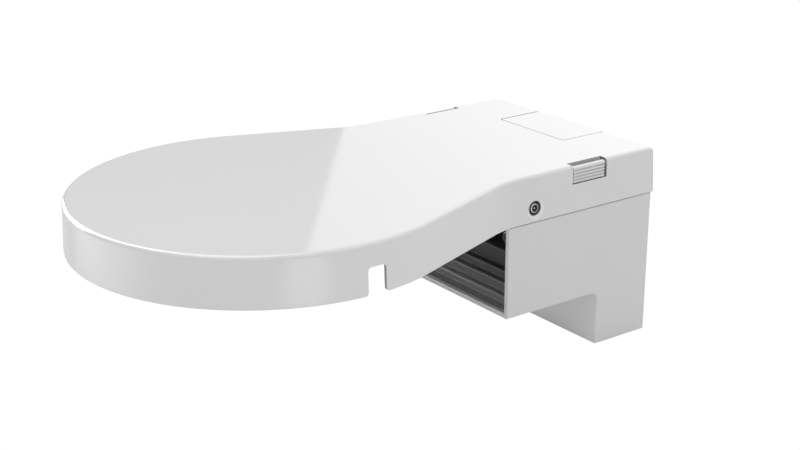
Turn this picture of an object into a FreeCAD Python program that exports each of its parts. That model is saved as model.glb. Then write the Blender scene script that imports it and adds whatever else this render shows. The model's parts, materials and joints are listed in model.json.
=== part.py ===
import FreeCAD, Part
import math
import os
import re

import Sketcher
from FreeCAD import Rotation, Vector

# Electric bidet seat with a full-length lid. Millimetres, +Z up, front towards -Y.
# The origin is the centre of the two fixing holes, on the underside of the lower housing.

doc = FreeCAD.newDocument("bidet_seat")
sheet = doc.addObject("Spreadsheet::Sheet", "sizes")

driving = {
    "blockWidth": (260, "width of the rear block at the top"),
    "topHeight": (150, "underside of the box to the lid's top"),
    "seamHeight": (100, "bottom edge of the lid's skirt"),
    "seamGap": (0.9, "gap between the skirt and the housing"),
    "legDrop": (61, "how far the rear leg reaches below the box"),
    "rearY": (137, "rear plane"),
    "frontY": (-64, "open front of the housing"),
    "legFrontY": (63, "front face of the leg"),
    "housingHalf": (130.8, "half the housing's width"),
    "housingWall": (5, "housing wall"),
    "bendRadius": (9, "inside corner between box and leg"),
    "discRadius": (193, "round front part of the lid"),
    "discCentreY": (-274.5, "centre of the round part"),
    "neckEndY": (-51, "where the lid's neck runs into its straight side"),
    "neckRadius": (110, "hollow bend at the neck"),
    "flareAngle": (2, "outward lean of the skirt in degrees"),
    "shellWall": (3.2, "lid wall"),
    "rimRadius": (4.5, "rounding of the lid's top rim"),
    "notchY": (-272, "middle of the finger notch"),
    "notchWidth": (20, "finger notch"),
    "notchTop": (127, "top of the finger notch"),
    "buttonFront": (21.5, "front end of a release button"),
    "buttonRear": (66, "rear end of a release button"),
    "buttonFloor": (130.8, "underside of a release button"),
    "buttonTop": (148.4, "top of a release button"),
    "buttonRearGap": (2.8, "gap behind a release button"),
    "buttonInner": (124, "inner face of a release button"),
    "recessInner": (119.5, "inner wall of the button recess"),
    "buttonGap": (0.6, "gap round a release button"),
    "ribPitch": (3.4, "spacing of the grip ribs"),
    "coverHalf": (53, "half the access cover's width"),
    "coverFrontY": (77, "front edge of the access cover"),
    "coverThick": (1.8, "access cover"),
    "screwY": (-29.6, "side screw"),
    "screwZ": (114.4, "side screw"),
    "screwShank": (3, "radius of the side screw"),
    "cupRadius": (7.6, "dished washer"),
    "armInner": (123, "inner face of a hinge arm"),
    "armThick": (3.8, "hinge arm"),
    "lidAxisY": (132, "lid hinge"),
    "lidAxisZ": (140, "lid hinge"),
    "lidPin": (3, "radius of the lid hinge pin"),
    "seatAxisY": (-47, "seat hinge"),
    "seatAxisZ": (133, "seat hinge"),
    "seatPin": (4, "radius of the seat hinge pin"),
    "runFit": (0.05, "radial clearance of a running fit"),
    "seatTop": (142.5, "upper face of the seat ring"),
    "seatBottom": (127.5, "lower face of the seat ring"),
    "seatInset": (11, "seat edge inside the lid's outer edge"),
    "holeHalf": (108, "half the seat opening's width"),
    "holeFrontY": (-392, "front of the seat opening"),
    "holeRearY": (-122, "rear of the seat opening"),
    "fixingSpacing": (155, "distance between the fixing holes"),
    "fixingHole": (4.25, "radius of a fixing hole"),
    "deckHalf": (109, "half the width of the deck's raised part"),
    "lugEnd": (119.6, "outer end of the seat hinge's lugs"),
    "deckTop": (136, "top of the deck"),
    "deckRearY": (88, "rear of the raised part of the deck"),
    "ledgeTop": (95.5, "ledge that carries the deck"),
    "stepDepth": (8, "tread of the stepped panel"),
    "bayFloorY": (-50, "first riser of the stepped panel"),
    "fasciaY": (8, "front face of the fascia"),
    "panelWall": (2.5, "wall of the stepped panel and of the fascia"),
    "fanX": (70, "left side of the dryer's fan case"),
    "fanY": (66, "fan axis"),
    "fanZ": (48, "fan axis"),
    "fanWidth": (34, "width of the fan case"),
    "fanRadius": (30, "outside of the fan case"),
    "fanWall": (2.4, "wall of the fan case and of the air duct"),
    "shaftRadius": (1.5, "fan shaft"),
    "wheelRadius": (24, "fan wheel"),
    "wandSpread": (15, "wand centre from the middle"),
    "wandZ": (81.4, "wand axis where it crosses the fascia"),
    "wandAngle": (25, "downward slope of the wands in degrees"),
    "sleeveRadius": (8.5, "outer stage of a wand"),
    "wandRadius": (6.2, "inner stage of a wand"),
    "inletX": (70, "water inlet"),
    "portZ": (-25, "height of the inlet and of the cable gland"),
    "inletRadius": (10.48, "G1/2 thread, outer radius"),
    "glandX": (-70, "mains cable gland"),
    "glandBore": (3.6, "radius of the cable hole"),
    "bossX": (120, "fixing boss at the open front"),
    "bossZ": (85.3, "fixing boss at the open front"),
    "bossRadius": (6.3, "fixing boss at the open front"),
}
for row, (alias, (amount, meaning)) in enumerate(driving.items(), 1):
    sheet.set(f"A{row}", alias)
    sheet.set(f"B{row}", str(amount))
    sheet.setAlias(f"B{row}", alias)
    sheet.set(f"C{row}", meaning)
doc.recompute()

aliasWords = re.compile(r"\b(" + "|".join(driving) + r")\b")
nodes = {}


def bound(text):
    """An expression on the sheet's cells, from one written with their bare names."""
    return aliasWords.sub(r"sizes.\1", str(text))


def size(text):
    return float(sheet.evalExpression(bound(text)))


def keep(label, item):
    """Names an object as one of the sub-parts that are written out."""
    item.Label = label
    nodes[label] = item
    return item


# Sketches and features

def newBody(label):
    return keep(label, doc.addObject("PartDesign::Body", label))


def newSketch(body, role, offset="0"):
    """A sketch on one of the body's origin planes, moved along the plane's normal."""
    plane = next(item for item in body.Origin.OriginFeatures if item.Role == role + "_Plane")
    sketch = body.newObject("Sketcher::SketchObject", "profile")
    sketch.AttachmentSupport = [(plane, "")]
    sketch.MapMode = "FlatFace"
    sketch.setExpression(".AttachmentOffset.Base.z", bound(offset))
    return sketch


def dimension(sketch, kind, amount, *where):
    index = sketch.addConstraint(Sketcher.Constraint(kind, *where, size(amount)))
    sketch.setExpression(f"Constraints[{index}]", bound(amount))


def addOutline(sketch, corners):
    """A closed polygon; every corner is two expressions."""
    points = [Vector(size(across), size(along), 0) for across, along in corners]
    first = sketch.GeometryCount
    count = len(points)
    for i in range(count):
        sketch.addGeometry(Part.LineSegment(points[i], points[(i + 1) % count]), False)
    for i in range(count):
        sketch.addConstraint(Sketcher.Constraint("Coincident", first + i, 2, first + (i + 1) % count, 1))
    for i, (across, along) in enumerate(corners):
        dimension(sketch, "DistanceX", across, -1, 1, first + i, 1)
        dimension(sketch, "DistanceY", along, -1, 1, first + i, 1)


def addRectangle(sketch, left, right, low, high):
    addOutline(sketch, [(left, low), (right, low), (right, high), (left, high)])


def addPair(sketch, inner, outer, low, high):
    """The same rectangle on both sides of the middle."""
    addRectangle(sketch, inner, outer, low, high)
    addRectangle(sketch, f"-({outer})", f"-({inner})", low, high)


def addCircle(sketch, across, along, radius):
    index = sketch.GeometryCount
    centre = Vector(size(across), size(along), 0)
    sketch.addGeometry(Part.Circle(centre, Vector(0, 0, 1), size(radius)), False)
    dimension(sketch, "DistanceX", across, -1, 1, index, 3)
    dimension(sketch, "DistanceY", along, -1, 1, index, 3)
    dimension(sketch, "Radius", radius, index)


def addLidOutline(sketch, inset, rear):
    """Round front, straight tangents, hollow necks and a square rear, set in from the lid's edge."""
    half = f"(blockWidth / 2 - {inset})"
    radius = f"(discRadius - {inset})"
    neck = f"(neckRadius + {inset})"
    centre = Vector(0, size("discCentreY"), 0)
    neckCentre = Vector(size(half) + size(neck), size("neckEndY"), 0)
    reach = neckCentre - centre
    turn = math.atan2(reach.y, reach.x) - math.acos((size(radius) + size(neck)) / reach.Length)
    touch = Vector(math.cos(turn), math.sin(turn), 0)
    discEnd = centre + touch * size(radius)
    neckStart = neckCentre - touch * size(neck)
    axis = Vector(0, 0, 1)

    def mirrored(point):
        return Vector(-point.x, point.y, point.z)

    sideFoot = Vector(size(half), size("neckEndY"), 0)
    sideTop = Vector(size(half), size(rear), 0)
    disc = Part.Circle(centre, axis, size(radius))
    rightNeck = Part.Circle(neckCentre, axis, size(neck))
    leftNeck = Part.Circle(mirrored(neckCentre), axis, size(neck))
    geometry = [
        Part.ArcOfCircle(disc, math.pi - turn, turn + 2 * math.pi),
        Part.LineSegment(discEnd, neckStart),
        Part.ArcOfCircle(rightNeck, math.pi, math.pi + turn),
        Part.LineSegment(sideFoot, sideTop),
        Part.LineSegment(sideTop, mirrored(sideTop)),
        Part.LineSegment(mirrored(sideTop), mirrored(sideFoot)),
        Part.ArcOfCircle(leftNeck, 2 * math.pi - turn, 2 * math.pi),
        Part.LineSegment(mirrored(neckStart), mirrored(discEnd)),
    ]
    for curve in geometry:
        sketch.addGeometry(curve, False)
    for joint in ((0, 2, 1, 1), (1, 2, 2, 2), (2, 1, 3, 1), (5, 2, 6, 2), (6, 1, 7, 1), (7, 2, 0, 1)):
        sketch.addConstraint(Sketcher.Constraint("Tangent", *joint))
    sketch.addConstraint(Sketcher.Constraint("Coincident", 3, 2, 4, 1))
    sketch.addConstraint(Sketcher.Constraint("Coincident", 4, 2, 5, 1))
    sketch.addConstraint(Sketcher.Constraint("Vertical", 3))
    sketch.addConstraint(Sketcher.Constraint("Vertical", 5))
    sketch.addConstraint(Sketcher.Constraint("Horizontal", 4))
    dimension(sketch, "DistanceX", half, -1, 1, 3, 1)
    dimension(sketch, "DistanceX", f"-{half}", -1, 1, 5, 2)
    dimension(sketch, "DistanceY", rear, -1, 1, 3, 2)
    dimension(sketch, "DistanceX", "0", -1, 1, 0, 3)
    dimension(sketch, "DistanceY", "discCentreY", -1, 1, 0, 3)
    dimension(sketch, "Radius", radius, 0)
    dimension(sketch, "Radius", neck, 2)
    dimension(sketch, "Radius", neck, 6)
    dimension(sketch, "DistanceY", "neckEndY", -1, 1, 2, 3)
    dimension(sketch, "DistanceY", "neckEndY", -1, 1, 6, 3)


def addPad(body, sketch, length, symmetric=False, back=False, taper="0"):
    return addSweep(body, "PartDesign::Pad", sketch, length, symmetric, back, taper)


def addPocket(body, sketch, length, symmetric=False, back=False, taper="0"):
    before = body.Shape.Volume
    pocket = addSweep(body, "PartDesign::Pocket", sketch, length, symmetric, back, taper)
    if pocket.Shape.Volume > before - 0.01:
        raise RuntimeError(f"a pocket in {body.Label} cuts nothing")
    return pocket


def addSweep(body, kind, sketch, length, symmetric, back, taper):
    feature = body.newObject(kind, "feature")
    feature.Profile = sketch
    feature.SideType = "Symmetric" if symmetric else "One side"
    feature.Reversed = back
    feature.setExpression("Length", bound(length))
    feature.setExpression("TaperAngle", bound(taper))
    sketch.Visibility = False
    doc.recompute()
    return feature


def addRounding(body, radius, chosen):
    """Rounds the edges of the body's last feature for which chosen(edge's middle, edge) is true."""
    base = body.Tip
    names = []
    for i, edge in enumerate(base.Shape.Edges, 1):
        middle = edge.valueAt((edge.FirstParameter + edge.LastParameter) / 2)
        if chosen(middle, edge):
            names.append(f"Edge{i}")
    if not names:
        raise RuntimeError(f"no edge to round on {body.Label}")
    rounding = body.newObject("PartDesign::Fillet", "rounding")
    rounding.Base = (base, names)
    rounding.setExpression("Radius", bound(radius))
    doc.recompute()
    return rounding


def addMirror(body, *features):
    """Repeats features on the other side of the middle."""
    mirror = body.newObject("PartDesign::Mirrored", "mirror")
    mirror.Originals = list(features)
    plane = next(item for item in body.Origin.OriginFeatures if item.Role == "YZ_Plane")
    mirror.MirrorPlane = (plane, [""])
    body.Tip = mirror
    doc.recompute()
    return mirror


# Primitives

def block(label, x, y, z):
    """A box between pairs of expressions."""
    item = doc.addObject("Part::Box", label)
    for cell, (low, high) in (("Length", x), ("Width", y), ("Height", z)):
        item.setExpression(cell, bound(f"({high}) - ({low})"))
    for name, (low, high) in (("x", x), ("y", y), ("z", z)):
        item.setExpression(f".Placement.Base.{name}", bound(low))
    return item


turns = {
    "X": Rotation(Vector(0, 1, 0), 90),
    "Y": Rotation(Vector(1, 0, 0), -90),
    "Z": Rotation(),
}


def rod(label, axis, radius, start, length, turn=None):
    """A cylinder that leaves its start point along an axis."""
    item = doc.addObject("Part::Cylinder", label)
    item.setExpression("Radius", bound(radius))
    item.setExpression("Height", bound(length))
    item.Placement = FreeCAD.Placement(Vector(), turn or turns[axis])
    for name, where in zip("xyz", start):
        item.setExpression(f".Placement.Base.{name}", bound(where))
    return item


def joined(label, *parts):
    item = doc.addObject("Part::MultiFuse", label)
    item.Shapes = list(parts)
    return item


def cut(label, base, *tools):
    item = doc.addObject("Part::Cut", label)
    item.Base = base
    item.Tool = tools[0] if len(tools) == 1 else joined(label + "_tools", *tools)
    return item


def group(label, parts):
    """Separate solids of one kind in one node."""
    item = doc.addObject("Part::Compound", label)
    item.Links = list(parts)
    return keep(label, item)


def pipeAlong(label, points, bend, outer, inner):
    """A hose: straight runs joined by tangent arcs, with its bore."""
    edges = []
    start = points[0]
    for before, corner, after in zip(points, points[1:], points[2:]):
        intoCorner = (corner - before).normalize()
        outOfCorner = (after - corner).normalize()
        half = intoCorner.getAngle(outOfCorner) / 2
        back = bend * math.tan(half)
        entry = corner - intoCorner * back
        leave = corner + outOfCorner * back
        inward = (outOfCorner - intoCorner).normalize()
        middle = corner + inward * (bend / math.cos(half) - bend)
        edges.append(Part.LineSegment(start, entry).toShape())
        edges.append(Part.Arc(entry, middle, leave).toShape())
        start = leave
    edges.append(Part.LineSegment(start, points[-1]).toShape())
    path = Part.Wire(edges)
    heading = points[1] - points[0]
    walls = []
    for radius in (outer, inner):
        ring = Part.Wire([Part.Circle(points[0], heading, radius).toShape()])
        walls.append(path.makePipeShell([ring], True, True))
    item = doc.addObject("Part::Feature", label)
    item.Shape = walls[0].cut(walls[1])
    return keep(label, item)


SIDES = (("right", 1), ("left", -1))


# Lid

def makeLidShell():
    body = newBody("lid_shell")
    outer = newSketch(body, "XY", "topHeight")
    addLidOutline(outer, "0", "rearY")
    addPad(body, outer, "topHeight - seamHeight", back=True, taper="flareAngle")
    top = size("topHeight")
    addRounding(body, "rimRadius", lambda middle, edge: abs(middle.z - top) < 0.01)
    hollow = newSketch(body, "XY", "topHeight - shellWall")
    addLidOutline(hollow, "shellWall", "rearY - shellWall")
    addPocket(body, hollow, "topHeight - seamHeight", taper="flareAngle")

    wells = newSketch(body, "XY", "topHeight - shellWall")
    addPair(wells, "recessInner - 3", "blockWidth / 2 - 1", "buttonFront - 4", "buttonRear + 6")
    addPad(body, wells, "topHeight - shellWall - buttonFloor + 4", back=True)
    recesses = newSketch(body, "XY", "topHeight + 1")
    addPair(recesses, "recessInner", "blockWidth / 2 + 6",
            "buttonFront - buttonGap", "buttonRear + buttonRearGap")
    addPocket(body, recesses, "topHeight + 1 - buttonFloor + buttonGap")
    slots = newSketch(body, "YZ")
    addRectangle(slots, "buttonFront + 17", "buttonFront + 26", "buttonFloor + 2", "buttonFloor + 8")
    addPocket(body, slots, "2 * recessInner + 2", symmetric=True)

    notch = newSketch(body, "YZ")
    addRectangle(notch, "notchY - notchWidth / 2", "notchY + notchWidth / 2", "seamHeight - 5", "notchTop")
    addPocket(body, notch, "3 * discRadius", symmetric=True)
    notchTop = size("notchTop")
    addRounding(body, "4", lambda middle, edge: abs(middle.z - notchTop) < 0.01
                and edge.BoundBox.XLength > 1 and edge.BoundBox.YLength < 0.01)
    screwHoles = newSketch(body, "YZ")
    addCircle(screwHoles, "screwY", "screwZ", "cupRadius + 0.1")
    addPocket(body, screwHoles, "blockWidth + 10", symmetric=True)
    ring = newSketch(body, "YZ", "blockWidth / 2 - 0.5")
    addCircle(ring, "screwY", "screwZ", "cupRadius + 0.1")
    chamfer = addPocket(body, ring, "3", back=True, taper="60")
    addMirror(body, chamfer)

    rearGaps = newSketch(body, "XZ", "-(rearY - 12)")
    addPair(rearGaps, "armInner - 18", "armInner + armThick + 0.4",
            "seamHeight - 5", "topHeight - shellWall")
    addPocket(body, rearGaps, "20")
    seatOfCover = newSketch(body, "XY", "topHeight + 1")
    addRectangle(seatOfCover, "-coverHalf - 0.4", "coverHalf + 0.4", "coverFrontY - 0.4", "rearY + 5")
    addPocket(body, seatOfCover, "1 + coverThick + 0.1")
    fromFront = size("coverFrontY - 0.4")
    addRounding(body, "3.4", lambda middle, edge: abs(middle.y - fromFront) < 0.01
                and abs(abs(middle.x) - size("coverHalf + 0.4")) < 0.01 and edge.BoundBox.ZLength > 1)


def makeAccessCover():
    body = newBody("access_cover")
    plate = newSketch(body, "XY", "topHeight - coverThick")
    addRectangle(plate, "-coverHalf", "coverHalf", "coverFrontY", "rearY - 0.9")
    addPad(body, plate, "coverThick")
    front = size("coverFrontY")
    addRounding(body, "3", lambda middle, edge: abs(middle.y - front) < 0.01 and edge.BoundBox.ZLength > 1)
    rear = size("rearY - 0.9")
    top = size("topHeight")
    addRounding(body, "1.5", lambda middle, edge: abs(middle.y - rear) < 0.01 and abs(middle.z - top) < 0.01)


def makeLidPanel():
    """Stiffening panel under the lid's round part."""
    body = newBody("lid_inner_panel")
    face = newSketch(body, "XY", "topHeight - shellWall")
    addLidOutline(face, "(shellWall + 4)", "-20")
    addPad(body, face, "1.6", back=True)
    ports = newSketch(body, "XY", "topHeight - shellWall")
    for across in (-70, 0, 70):
        for along in (-370, -270, -170):
            addCircle(ports, f"{across}", f"{along}", "9")
    addPocket(body, ports, "3")


def makeArm(side, sign):
    """Steel arm from the lid hinge to the side screw, passing under the release button."""
    body = newBody(f"hinge_arm_{side}")
    start = "armInner" if sign > 0 else "-(armInner + armThick)"
    profile = newSketch(body, "YZ", start)
    addOutline(profile, [
        ("screwY - 12", "screwZ - 9"), ("lidAxisY - 36", "screwZ - 9"), ("lidAxisY + 2", "lidAxisZ - 12"),
        ("lidAxisY + 5", "lidAxisZ - 6"), ("lidAxisY + 5", "lidAxisZ + 5.4"),
        ("lidAxisY - 10", "lidAxisZ + 5.4"), ("lidAxisY - 44", "buttonFloor - 6"),
        ("screwY - 12", "buttonFloor - 6"),
    ])
    addPad(body, profile, "armThick")
    holes = newSketch(body, "YZ", start)
    addCircle(holes, "lidAxisY", "lidAxisZ", "lidPin")
    addCircle(holes, "screwY", "screwZ", "screwShank")
    addPocket(body, holes, "armThick", back=True)


def makeSideScrews():
    """Countersunk hex-socket screws and their dished washers, one on each side."""
    headRadius, headHeight, hexRadius, dishRadius, cupHeight = 5.6, 2.6, 2.3, 6.6, 3.4
    shank = size("screwShank")
    screws = []
    cups = []
    for side, sign in SIDES:
        outward = turns["X"] if sign > 0 else Rotation(Vector(0, 1, 0), -90)

        def at(inset):
            return (f"{sign} * (armInner + {inset})", "screwY", "screwZ")

        def shaped(kind, label, inset, height, **sizes):
            item = doc.addObject(kind, label)
            for key, amount in sizes.items():
                setattr(item, key, amount)
            item.Height = height
            item.Placement = FreeCAD.Placement(Vector(), outward)
            for name, where in zip("xyz", at(inset)):
                item.setExpression(f".Placement.Base.{name}", bound(where))
            return item

        stem = rod("stem", "X", "screwShank", at("0"), "armThick + 1", outward)
        head = shaped("Part::Cone", "head", "armThick + 1", headHeight, Radius1=shank, Radius2=headRadius)
        socket = shaped("Part::Prism", "socket", "armThick + 1.4", 3, Polygon=6, Circumradius=hexRadius)
        screws.append(cut(f"screw_{side}", joined("shank", stem, head), socket))
        disc = rod("disc", "X", "cupRadius", at("armThick + 0.05"), f"{cupHeight}", outward)
        dish = shaped("Part::Cone", "dish", "armThick + 1", 3.5, Radius1=shank, Radius2=dishRadius)
        bore = rod("bore", "X", "screwShank", at("armThick"), "3", outward)
        cups.append(cut(f"cup_{side}", disc, dish, bore))
    group("side_screws", screws)
    group("side_cup_washers", cups)


def makeButton(side, sign):
    body = newBody(f"release_button_{side}")

    def across(text):
        return text if sign > 0 else f"-({text})"

    top = newSketch(body, "XY", "buttonFloor")
    edges = [across("buttonInner"), across("blockWidth / 2 + 0.9")]
    if sign < 0:
        edges.reverse()
    addRectangle(top, *edges, "buttonFront", "buttonRear")
    addPad(body, top, "buttonTop - buttonFloor")
    height = size("buttonTop")
    face = size("blockWidth / 2 + 0.9")

    def isTopEdge(middle, edge):
        return abs(middle.z - height) < 0.01 and abs(abs(middle.x) - face) < 0.01

    addRounding(body, "3", isTopEdge)
    grooves = newSketch(body, "XZ", "-buttonFront")
    for i in range(4):
        low = f"buttonFloor + 2.8 + {i} * ribPitch"
        sides = [across("blockWidth / 2 + 0.1"), across("blockWidth / 2 + 2")]
        if sign < 0:
            sides.reverse()
        addRectangle(grooves, *sides, low, f"{low} + 1.3")
    addPocket(body, grooves, "buttonRear - buttonFront")
    hook = newSketch(body, "YZ", across("buttonInner"))
    addRectangle(hook, "buttonFront + 18", "buttonFront + 25", "buttonFloor + 3", "buttonFloor + 7")
    addPad(body, hook, "10", back=sign > 0)


def makeButtonSpring(side, sign):
    start = ("recessInner" if sign > 0 else "-buttonInner", "buttonFront + 8", "buttonFloor + 8")
    outer = rod("coil", "X", "2.6", start, "buttonInner - recessInner")
    inner = rod("core", "X", "1.7", start, "buttonInner - recessInner")
    keep(f"button_spring_{side}", cut(f"button_spring_{side}", outer, inner))


def makeLidHinge():
    """Bracket on the deck with two posts, the dampers in them and the pins in the arms."""
    foot = block("foot", ("-112", "112"), ("lidAxisY - 22", "lidAxisY - 8"),
                 ("ledgeTop + 2.5", "ledgeTop + 3.9"))
    parts = [foot]
    dampers = []
    pins = []
    for side, sign in SIDES:
        low, high = sorted((size("armInner") * sign - 15 * sign, size("armInner") * sign - 0.5 * sign))
        stem = block("stem", (low, high), ("lidAxisY - 5", "lidAxisY + 4.4"),
                     ("ledgeTop + 2.5", "lidAxisZ"))
        eye = rod("eye", "X", "5.2", (low, "lidAxisY", "lidAxisZ"), f"{high - low}")
        shoulder = block("shoulder", (low, high), ("lidAxisY - 18", "lidAxisY - 4"),
                         ("ledgeTop + 2.5", "ledgeTop + 8"))
        parts += [stem, eye, shoulder]
        start = (low, "lidAxisY", "lidAxisZ")
        barrel = rod("barrel", "X", "4.4", start, f"{high - low}")
        passage = rod("passage", "X", "lidPin + runFit", start, f"{high - low}")
        dampers.append(cut(f"lid_damper_{side}", barrel, passage))
        pinStart = low + 1 if sign > 0 else -size("armInner + armThick")
        pins.append(rod(f"lid_pin_{side}", "X", "lidPin", (pinStart, "lidAxisY", "lidAxisZ"),
                        f"armInner + armThick - {abs(low + 1) if sign > 0 else abs(high - 1)}"))
    bores = []
    for side, sign in SIDES:
        low, high = sorted((size("armInner") * sign - 15 * sign, size("armInner") * sign - 0.5 * sign))
        bores.append(rod("bore", "X", "4.4", (low, "lidAxisY", "lidAxisZ"), f"{high - low}"))
    keep("hinge_bracket", cut("hinge_bracket", joined("bracket_solid", *parts), *bores))
    group("lid_dampers", dampers)
    group("lid_hinge_pins", pins)


def makeLidBumpers():
    pads = []
    for across, along in ((-145, -330), (145, -330), (-120, -130), (120, -130)):
        pads.append(rod("pad", "Z", "5", (across, along, "seatTop + 0.4"),
                        "topHeight - shellWall - 1.6 - seatTop - 0.4"))
    group("lid_bumpers", pads)


# Seat

def addSeatHole(sketch, grow):
    """Long round opening: a half circle at each end and straight sides."""
    half = f"(holeHalf + {grow})"
    front = Vector(0, size("holeFrontY + holeHalf"), 0)
    rear = Vector(0, size("holeRearY - holeHalf"), 0)
    reach = size(half)
    axis = Vector(0, 0, 1)
    first = sketch.GeometryCount
    sketch.addGeometry(Part.ArcOfCircle(Part.Circle(front, axis, reach), math.pi, 2 * math.pi), False)
    sketch.addGeometry(Part.LineSegment(front + Vector(reach, 0, 0), rear + Vector(reach, 0, 0)), False)
    sketch.addGeometry(Part.ArcOfCircle(Part.Circle(rear, axis, reach), 0, math.pi), False)
    sketch.addGeometry(Part.LineSegment(rear - Vector(reach, 0, 0), front - Vector(reach, 0, 0)), False)
    for one, oneEnd, other, otherEnd in ((0, 2, 1, 1), (1, 2, 2, 1), (2, 2, 3, 1), (3, 2, 0, 1)):
        sketch.addConstraint(Sketcher.Constraint("Tangent", first + one, oneEnd, first + other, otherEnd))
    dimension(sketch, "Radius", half, first)
    dimension(sketch, "DistanceX", "0", -1, 1, first, 3)
    dimension(sketch, "DistanceY", "holeFrontY + holeHalf", -1, 1, first, 3)
    dimension(sketch, "DistanceX", "0", -1, 1, first + 2, 3)
    dimension(sketch, "DistanceY", "holeRearY - holeHalf", -1, 1, first + 2, 3)


def addSeatPlate(body, level, thick, inset, grow, rear):
    """A slab with the seat's outline and opening, cut off straight at the rear."""
    face = newSketch(body, "XY", level)
    addLidOutline(face, inset, "neckEndY + 6")
    addSeatHole(face, grow)
    addPad(body, face, thick)
    behind = newSketch(body, "XY", level)
    addRectangle(behind, "-blockWidth", "blockWidth", rear, "neckEndY + 10")
    addPocket(body, behind, thick, back=True)


def makeSeatRing():
    rearEdge = "frontY - 1"
    body = newBody("seat_ring")
    addSeatPlate(body, "seatBottom + 2", "seatTop - seatBottom - 2", "seatInset", "0", rearEdge)
    top = size("seatTop")
    addRounding(body, "5", lambda middle, edge: abs(middle.z - top) < 0.01)
    hollow = newSketch(body, "XY", "seatTop - 3")
    addLidOutline(hollow, "(seatInset + 3)", "neckEndY + 6")
    addSeatHole(hollow, "3")
    addPocket(body, hollow, "seatTop - seatBottom")
    rearWall = newSketch(body, "XY", "seatBottom + 2")
    addRectangle(rearWall, "-112", "112", "frontY - 4", rearEdge)
    addPad(body, rearWall, "seatTop - seatBottom - 4.5")
    barrels = newSketch(body, "YZ", "84.6")
    addCircle(barrels, "seatAxisY", "seatAxisZ", "8")
    barrel = addPad(body, barrels, "27")
    webs = newSketch(body, "YZ", "84.6")
    addRectangle(webs, "frontY - 4", "seatAxisY", "seatBottom + 2", "seatTop - 2")
    web = addPad(body, webs, "27")
    addMirror(body, barrel, web)
    bores = newSketch(body, "YZ")
    addCircle(bores, "seatAxisY", "seatAxisZ", "seatPin")
    addPocket(body, bores, "240", symmetric=True)

    body = newBody("seat_base")
    addSeatPlate(body, "seatBottom", "2", "seatInset", "0", rearEdge)

    body = newBody("seat_heater")
    addSeatPlate(body, "seatTop - 3.6", "0.6", "(seatInset + 12)", "10", "frontY - 24")


def makeSeatHardware():
    bumpers = []
    for across, along in ((-140, -350), (140, -350), (-140, -190), (140, -190)):
        bumpers.append(rod("bumper", "Z", "9", (across, along, "seatBottom - 5"), "5"))
    group("seat_bumpers", bumpers)
    pins = []
    dampers = []
    for side, sign in SIDES:
        pins.append(rod(f"seat_pin_{side}", "X", "seatPin",
                        ("62" if sign > 0 else "-118", "seatAxisY", "seatAxisZ"), "56"))
        start = ("60" if sign > 0 else "-83", "seatAxisY", "seatAxisZ")
        dampers.append(cut(f"seat_damper_{side}", rod("barrel", "X", "6.6", start, "23"),
                           rod("passage", "X", "seatPin + runFit", start, "23")))
    group("seat_hinge_pins", pins)
    group("seat_dampers", dampers)


# Housing

def makeHousing():
    body = newBody("lower_housing")
    top = "seamHeight - seamGap"
    side = newSketch(body, "YZ")
    addOutline(side, [
        ("frontY", "0"), ("legFrontY", "0"), ("legFrontY", "-legDrop"),
        ("rearY", "-legDrop"), ("rearY", top), ("frontY", top)])
    addPad(body, side, "2 * housingHalf", symmetric=True)
    legFront = size("legFrontY")

    def isBend(middle, edge):
        return abs(middle.y - legFront) < 0.01 and abs(middle.z) < 0.01

    addRounding(body, "bendRadius", isBend)
    low = size("-legDrop")
    front = size("frontY")

    def isOuterEdge(middle, edge):
        atSide = abs(abs(middle.x) - size("housingHalf")) < 0.01
        return atSide and middle.z < size(top) - 1 and middle.y > front + 1

    addRounding(body, "1.5", lambda middle, edge: isOuterEdge(middle, edge)
                or (abs(middle.z - low) < 0.01 and abs(middle.x) < 1))
    inside = newSketch(body, "YZ")
    addOutline(inside, [
        ("frontY - 5", "housingWall"), ("legFrontY + housingWall", "housingWall"),
        ("legFrontY + housingWall", "housingWall - legDrop"),
        ("rearY - housingWall", "housingWall - legDrop"),
        ("rearY - housingWall", "seamHeight + 5"), ("frontY - 5", "seamHeight + 5")])
    addPocket(body, inside, "2 * (housingHalf - housingWall)", symmetric=True)
    rearTop = newSketch(body, "XZ", "-(rearY - housingWall - 1)")
    addRectangle(rearTop, "-housingHalf + housingWall", "housingHalf - housingWall",
                 "seamHeight - 3", "seamHeight")
    addPocket(body, rearTop, "housingWall + 2")
    ledges = newSketch(body, "XY", "ledgeTop")
    addPair(ledges, "housingHalf - housingWall - 4", "housingHalf - 1", "frontY + 3", "rearY - 1")
    addPad(body, ledges, "3", back=True)
    window = newSketch(body, "XZ", "-(rearY - housingWall - 1)")
    addRectangle(window, "-98", "98", "-45", "78")
    addPocket(body, window, "housingWall + 2")
    rebate = newSketch(body, "XZ", "-(rearY - 3)")
    addRectangle(rebate, "-102", "102", "-49", "82")
    addPocket(body, rebate, "4")
    fixings = newSketch(body, "XY", "housingWall + 1")
    for sign in ("", "-"):
        addCircle(fixings, f"{sign}fixingSpacing / 2", "0", "fixingHole")
    addPocket(body, fixings, "housingWall + 2")
    bosses = newSketch(body, "XZ", "-(frontY + 6)")
    for sign in ("", "-"):
        addCircle(bosses, f"{sign}bossX", "bossZ", "bossRadius")
    addPad(body, bosses, "24", back=True)
    bores = newSketch(body, "XZ", "-(frontY + 5)")
    for sign in ("", "-"):
        addCircle(bores, f"{sign}bossX", "bossZ", "3.4")
    addPocket(body, bores, "15")


def makeBossInserts():
    """Flanged threaded sleeves pressed into the bosses."""
    inserts = []
    for side, sign in SIDES:
        start = (f"{sign} * bossX", "frontY + 5.1", "bossZ")
        flange = rod("flange", "Y", "5.4", start, "0.8")
        sleeve = rod("sleeve", "Y", "3.4", start, "13")
        thread = rod("thread", "Y", "2.1", start, "13")
        inserts.append(cut(f"insert_{side}", joined("blank", flange, sleeve), thread))
    group("boss_inserts", inserts)


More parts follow.
